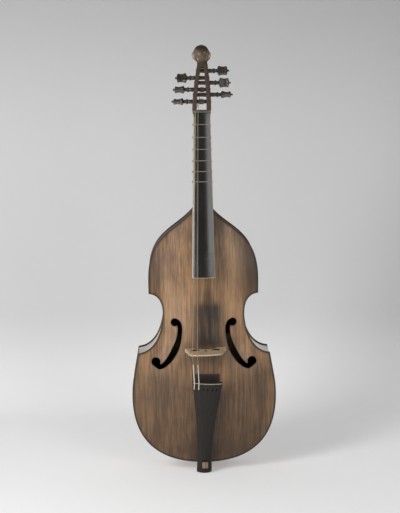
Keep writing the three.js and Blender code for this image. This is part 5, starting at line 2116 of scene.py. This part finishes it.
@dataclass
class Head:
    """The carved head of a bearded man on top of the pegbox."""

    lines: Lines
    pegs: PegBox
    height: float = 52
    base_half: float = 14.3
    base_deep: float = 12.5
    jaw_half: float = 17
    dome_half: float = 19.4
    dome_deep: float = 21.6
    forward: float = 6
    side_lean: float = 2.6
    curl_reach: float = 5.4
    brow: float = 1.3
    socket: float = 1.8
    nose: float = 4.2
    moustache: float = 2
    beard: float = 3.2
    hair: float = 1.6
    strand: float = 0.55
    levels: int = 150
    sides: int = 180

    def __post_init__(self) -> None:
        """Draws half the head's plain width over the share of its height."""
        line = [(0, self.base_half), (0.12, self.base_half), (0.3, self.jaw_half)]
        shares = [(0.45, 0.95), (0.6, 1), (0.73, 0.91), (0.82, 0.78), (0.9, 0.62), (0.96, 0.42), (1, 0.1)]
        line += [(up, self.dome_half * part) for up, part in shares]
        self.width_line = smooth_line(line, 120)

    def curl(self, side: float, up: float) -> float:
        """The bunch of curls over each ear, 1 in its middle."""
        return exp(-(((side - 1.5) / 0.55) ** 4) - ((up - 0.4) / 0.22) ** 4)

    def lean(self, up: float) -> float:
        """How far the head leans to the bass side at a height."""
        return self.side_lean * share(up, 0, 0.35)

    def pale(self, spot: Vector) -> float:
        """How pale the wood is.

        Args:
            spot: the place, from the middle of the head's foot.

        Returns:
            From 0 in the hair to 1 in the curls.
        """
        up = spot.z / self.height
        forward = self.forward * share(up, 0, 0.35)
        side = abs(atan2(spot.x + self.lean(up), -(spot.y + forward)))
        crown = share(up, 0.56 + 0.12 * min(side / 0.8, 1), 0.64 + 0.12 * min(side / 0.8, 1))
        crown = max(crown, share(side, 2.0, 2.3))
        strands = 0.5 + 0.5 * sin(side * 20 + 9 * sin(up * 12))
        curls = min(self.curl(side, up) * 1.2, 1) * mix(0.45, 1.0, strands)
        locks = exp(-(((side - 0.75) / 0.16) ** 2) - ((up - 0.24) / 0.13) ** 2)
        face = mix(0.45, 0.2, share(up, 0.3, 0.05))
        return max(mix(face, 0.05, crown), curls * (1 - crown * 0.6), locks)

    def relief(self, angle: float, up: float) -> float:
        """How far the hair, the face and the beard stand out.

        Args:
            angle: the direction, 0 towards the strings.
            up: the share of the height.

        Returns:
            The swelling in millimetres.
        """
        def bump(centre: float, spread: float, level: float, tall: float) -> float:
            """A soft swelling."""
            return exp(-(((angle - centre) / spread) ** 2) - ((up - level) / tall) ** 2)

        def both(centre: float, spread: float, level: float, tall: float) -> float:
            """A soft swelling on either side."""
            return bump(centre, spread, level, tall) + bump(-centre, spread, level, tall)

        side = abs(angle)
        hairline = share(up, 0.66, 0.72) + share(side, 0.95, 1.15) * share(up, 0.1, 0.2)
        hair = min(hairline, 1.0)
        beard = max(bump(0, 0.75, 0.16, 0.13), both(0.3, 0.25, 0.37, 0.05))
        flow = sin(side * 22 + 6 * sin(up * 9)) + 0.5 * sin(side * 47 + up * 31)
        curls = sin(hypot((side - 1.5) * 16, (up - 0.4) * 30) * 1.6)
        curl_part = min(self.curl(side, up) * 1.3, 1.0)
        swell = self.brow * both(0.3, 0.28, 0.63, 0.035)
        swell -= self.socket * both(0.36, 0.17, 0.565, 0.04)
        swell += self.socket * 0.55 * both(0.36, 0.1, 0.56, 0.022)
        swell += self.nose * bump(0, 0.12, 0.49, 0.055) + self.nose * 0.5 * bump(0, 0.1, 0.57, 0.06)
        swell += self.nose * 0.2 * both(0.13, 0.07, 0.465, 0.02)
        swell += self.moustache * both(0.24, 0.2, 0.385, 0.04)
        swell -= self.socket * 0.5 * bump(0, 0.28, 0.335, 0.018)
        swell += self.moustache * 0.5 * bump(0, 0.2, 0.3, 0.03)
        swell += self.beard * bump(0, 0.6, 0.17, 0.1)
        swell += self.curl_reach * self.curl(side, up)
        swell += self.hair * hair
        swell += self.strand * flow * hair * (1 - curl_part)
        swell += self.strand * flow * 0.8 * beard
        swell += self.strand * 1.6 * curls * curl_part
        return swell

    def skin(self) -> Mesh:
        """The head.

        Returns:
            The head in its place.
        """
        rings = []
        deep_base = self.base_deep / self.base_half
        deep_dome = self.dome_deep / self.dome_half
        for level in range(self.levels + 1):
            up = sin(pi / 2 * level / self.levels) ** 1.1
            half = read_off(self.width_line, up)
            deep = half * mix(deep_base, deep_dome, share(up, 0, 0.5))
            fade = share(up, 0, 0.1) * share(1 - up, 0, 0.12)
            forward = self.forward * share(up, 0, 0.35)
            ring = []
            for k in range(self.sides):
                angle = TURN * (k + 0.5) / self.sides - pi
                swell = self.relief(angle, up) * fade
                x = (half + swell) * sin(angle) - self.lean(up)
                y = -forward - (deep + swell) * cos(angle)
                ring.append(Vector((x, y, up * self.height)))
            rings.append(ring)
        return moved(ring_mesh(rings), in_metres(Matrix.Translation(self.foot())))

    def foot(self) -> Vector:
        """The middle of the head's foot, on top of the pegbox.

        Returns:
            The place.
        """
        middle = self.pegs.top_depth / 2
        rise = middle * tan(radians(self.lines.box_lean))
        seat = self.lines.box_frame @ Vector((0, middle, self.pegs.length + rise))
        return Vector((self.pegs.top_shift, seat.y, seat.z + SEAT_GAP))

    def build(self, finishes: Finishes) -> None:
        """Makes the head.

        Args:
            finishes: every finish.
        """
        bm = self.skin()
        head = piece_from(bm, "bearded_head", finishes.carved, ["carved_head"], crease=70)
        foot = self.foot()
        note_values(head, "pale", lambda spot: self.pale(spot - foot))


@dataclass
class KeptNodes:
    """The pieces whose plain solids are right, and only need their wood or bone."""

    inner: tuple[str, ...] = (
        "tail_block", "neck_block", "soundpost", "soundpost_plate", "bass_bar", "back_brace_1",
        "back_brace_2", "back_brace_3", "corner_block_lower_left", "corner_block_upper_left",
        "corner_block_lower_right", "corner_block_upper_right",
    )
    soften: float = 0.35

    def build(self, finishes: Finishes) -> None:
        """Gives each kept node its finish and softens the edges of the bone.

        Args:
            finishes: every finish.
        """
        bones = {"nut": finishes.nut, "tailpiece_saddle": finishes.bone}
        for name in (*self.inner, *bones):
            node = frame["nodes"][name]
            node.data.materials.clear()
            node.data.materials.append(bones.get(name, finishes.inner))
            if name in bones:
                weld = node.modifiers.new("weld", "WELD")
                weld.merge_threshold = MM * 1e-2
                bevel = node.modifiers.new("soften", "BEVEL")
                bevel.width = self.soften * MM
                bevel.segments = 2
                bevel.limit_method = "ANGLE"
            LOG.info("%s: kept", name)


@dataclass
class Studio:
    """The pale floor that runs up into a wall, the soft lights and the camera."""

    floor_front: float = -4.5
    floor_back: float = 0.62
    bend_radius: float = 0.5
    wall_top: float = 4.5
    half_width: float = 5
    eye: Spot = (-0.080, -3.800, 1.050)
    tilt: float = 4.309
    yaw: float = 1.104
    roll: float = -0.514
    lens: float = 97.96
    fall: float = 0.12
    world_level: float = 0.14
    left_power: float = 64
    left_place: Spot = (-1.75, -1.95, 1.35)
    left_size: Flat = (0.9, 2.0)
    right_power: float = 22
    right_place: Spot = (1.45, -2.4, 1.3)
    right_size: Flat = (1.2, 1.9)
    aim: Spot = (0, 0, 0.6)

    def sweep(self) -> None:
        """Makes the floor and the wall in one bent sheet."""
        profile = [(self.floor_front, 0.0), (self.floor_back * 0.3, 0.0)]
        centre = (self.floor_back, self.bend_radius)
        profile += round_bit(centre, self.bend_radius, -90, 0, 32)
        profile.append((self.floor_back + self.bend_radius, self.wall_top))
        xs = (-self.half_width, -1.5, 1.5, self.half_width)
        rows = [[Vector((x, y, z)) / MM for y, z in profile] for x in xs]
        bm = row_mesh(rows)
        bmesh.ops.recalc_face_normals(bm, faces=bm.faces)
        if sum(face.normal.z for face in bm.faces) < 0:
            bmesh.ops.reverse_faces(bm, faces=bm.faces)
        data = bpy.data.meshes.new("paper_sweep")
        bm.to_mesh(data)
        bm.free()
        data.shade_smooth()
        data.materials.append(self.paper())
        placed("paper_sweep", data)

    def paper(self) -> Finish:
        """The pale paper, darker up the wall, bright where the floor is seen, and clear from behind.

        Returns:
            The material.
        """
        bench = Bench("pale_paper")
        coordinates = bench.put("ShaderNodeTexCoord").outputs["Object"]
        height = bench.put("ShaderNodeSeparateXYZ", {0: coordinates}).outputs[2]
        tone = bench.blend(bench.span(height, 0.0, 0.5), (0.8, 0.8, 0.8), (0.7, 0.7, 0.7))
        tone = bench.blend(bench.span(height, 0.8, 1.9), tone, (0.44, 0.44, 0.44))
        ray = bench.put("ShaderNodeLightPath").outputs
        seen = bench.sum("ADD", ray["Is Camera Ray"], ray["Is Glossy Ray"], clamp=True)
        seen = bench.sum("ADD", seen, ray["Is Transmission Ray"], clamp=True)
        low = bench.span(height, 0.0, 0.3, 0.2, 0.0)
        glow = bench.sum("ADD", low, bench.span(height, 0.3, 1.4, 0.07, 0.0))
        feeds = {"Base Color": tone, "Roughness": 0.9, "Specular IOR Level": 0.0}
        feeds["Emission Color"] = (1.0, 1.0, 1.0, 1.0)
        feeds["Emission Strength"] = bench.sum("MULTIPLY", seen, glow)
        front = bench.put("ShaderNodeBsdfPrincipled", feeds).outputs[0]
        clear = bench.put("ShaderNodeBsdfTransparent").outputs[0]
        behind = bench.put("ShaderNodeNewGeometry").outputs["Backfacing"]
        whole = bench.put("ShaderNodeMixShader", {0: behind, 1: front, 2: clear}).outputs[0]
        bench.put("ShaderNodeOutputMaterial", {0: whole})
        return bench.material

    def soft_box(self, name: str, power: float, place: Spot, size: Flat) -> None:
        """Hangs one soft light.

        Args:
            name: the light's name.
            power: its power in watts.
            place: where it hangs, in metres.
            size: its width and height.
        """
        data = bpy.data.lights.new(name, "AREA")
        data.energy = power
        data.shape = "RECTANGLE"
        data.size, data.size_y = size
        lamp = placed(name, data)
        lamp.location = place
        lamp.rotation_euler = (Vector(self.aim) - Vector(place)).to_track_quat("-Z", "Y").to_euler()

    def camera(self) -> None:
        """Stands the camera where the picture was taken from."""
        tilt, yaw, roll = (radians(a) for a in (self.tilt, self.yaw, self.roll))
        ahead = Vector((sin(yaw) * cos(tilt), cos(yaw) * cos(tilt), -sin(tilt)))
        right = Vector((cos(yaw), -sin(yaw), 0))
        upward = right.cross(ahead)
        across = right * cos(roll) + upward * sin(roll)
        upward = upward * cos(roll) - right * sin(roll)
        data = bpy.data.cameras.new("camera")
        data.lens = self.lens
        data.sensor_fit = "AUTO"
        data.sensor_width = 36
        data.shift_y = -self.fall
        eye = placed("camera", data)
        turn = Matrix((across, upward, -ahead)).transposed().to_4x4()
        eye.matrix_world = Matrix.Translation(self.eye) @ turn
        bpy.context.scene.camera = eye

    def build(self) -> None:
        """Sets up the whole studio."""
        scene = bpy.context.scene
        scene.view_settings.view_transform = "Standard"
        self.sweep()
        self.soft_box("left_box", self.left_power, self.left_place, self.left_size)
        self.soft_box("right_box", self.right_power, self.right_place, self.right_size)
        world = bpy.data.worlds.new("room")
        world.use_nodes = True
        ground = world.node_tree.nodes["Background"]
        ground.inputs[0].default_value = (1, 1, 1, 1)
        ground.inputs[1].default_value = self.world_level
        scene.world = world
        self.camera()
        LOG.info("studio set up")


def main() -> None:
    """Builds the studio and the instrument, piece by piece."""
    logging.basicConfig(level=logging.INFO, format="%(message)s")
    finishes = Finishes()
    Studio().build()
    box = SoundBox()
    lines = Lines(box)
    pegs = PegBox(lines)
    tail = Tail(lines)
    for part in (
        box,
        Neck(lines),
        pegs,
        Head(lines, pegs),
        Bridge(lines),
        tail,
        Strings(lines, pegs, tail),
        KeptNodes(),
    ):
        part.build(finishes)


if __name__ == "__main__":
    main()
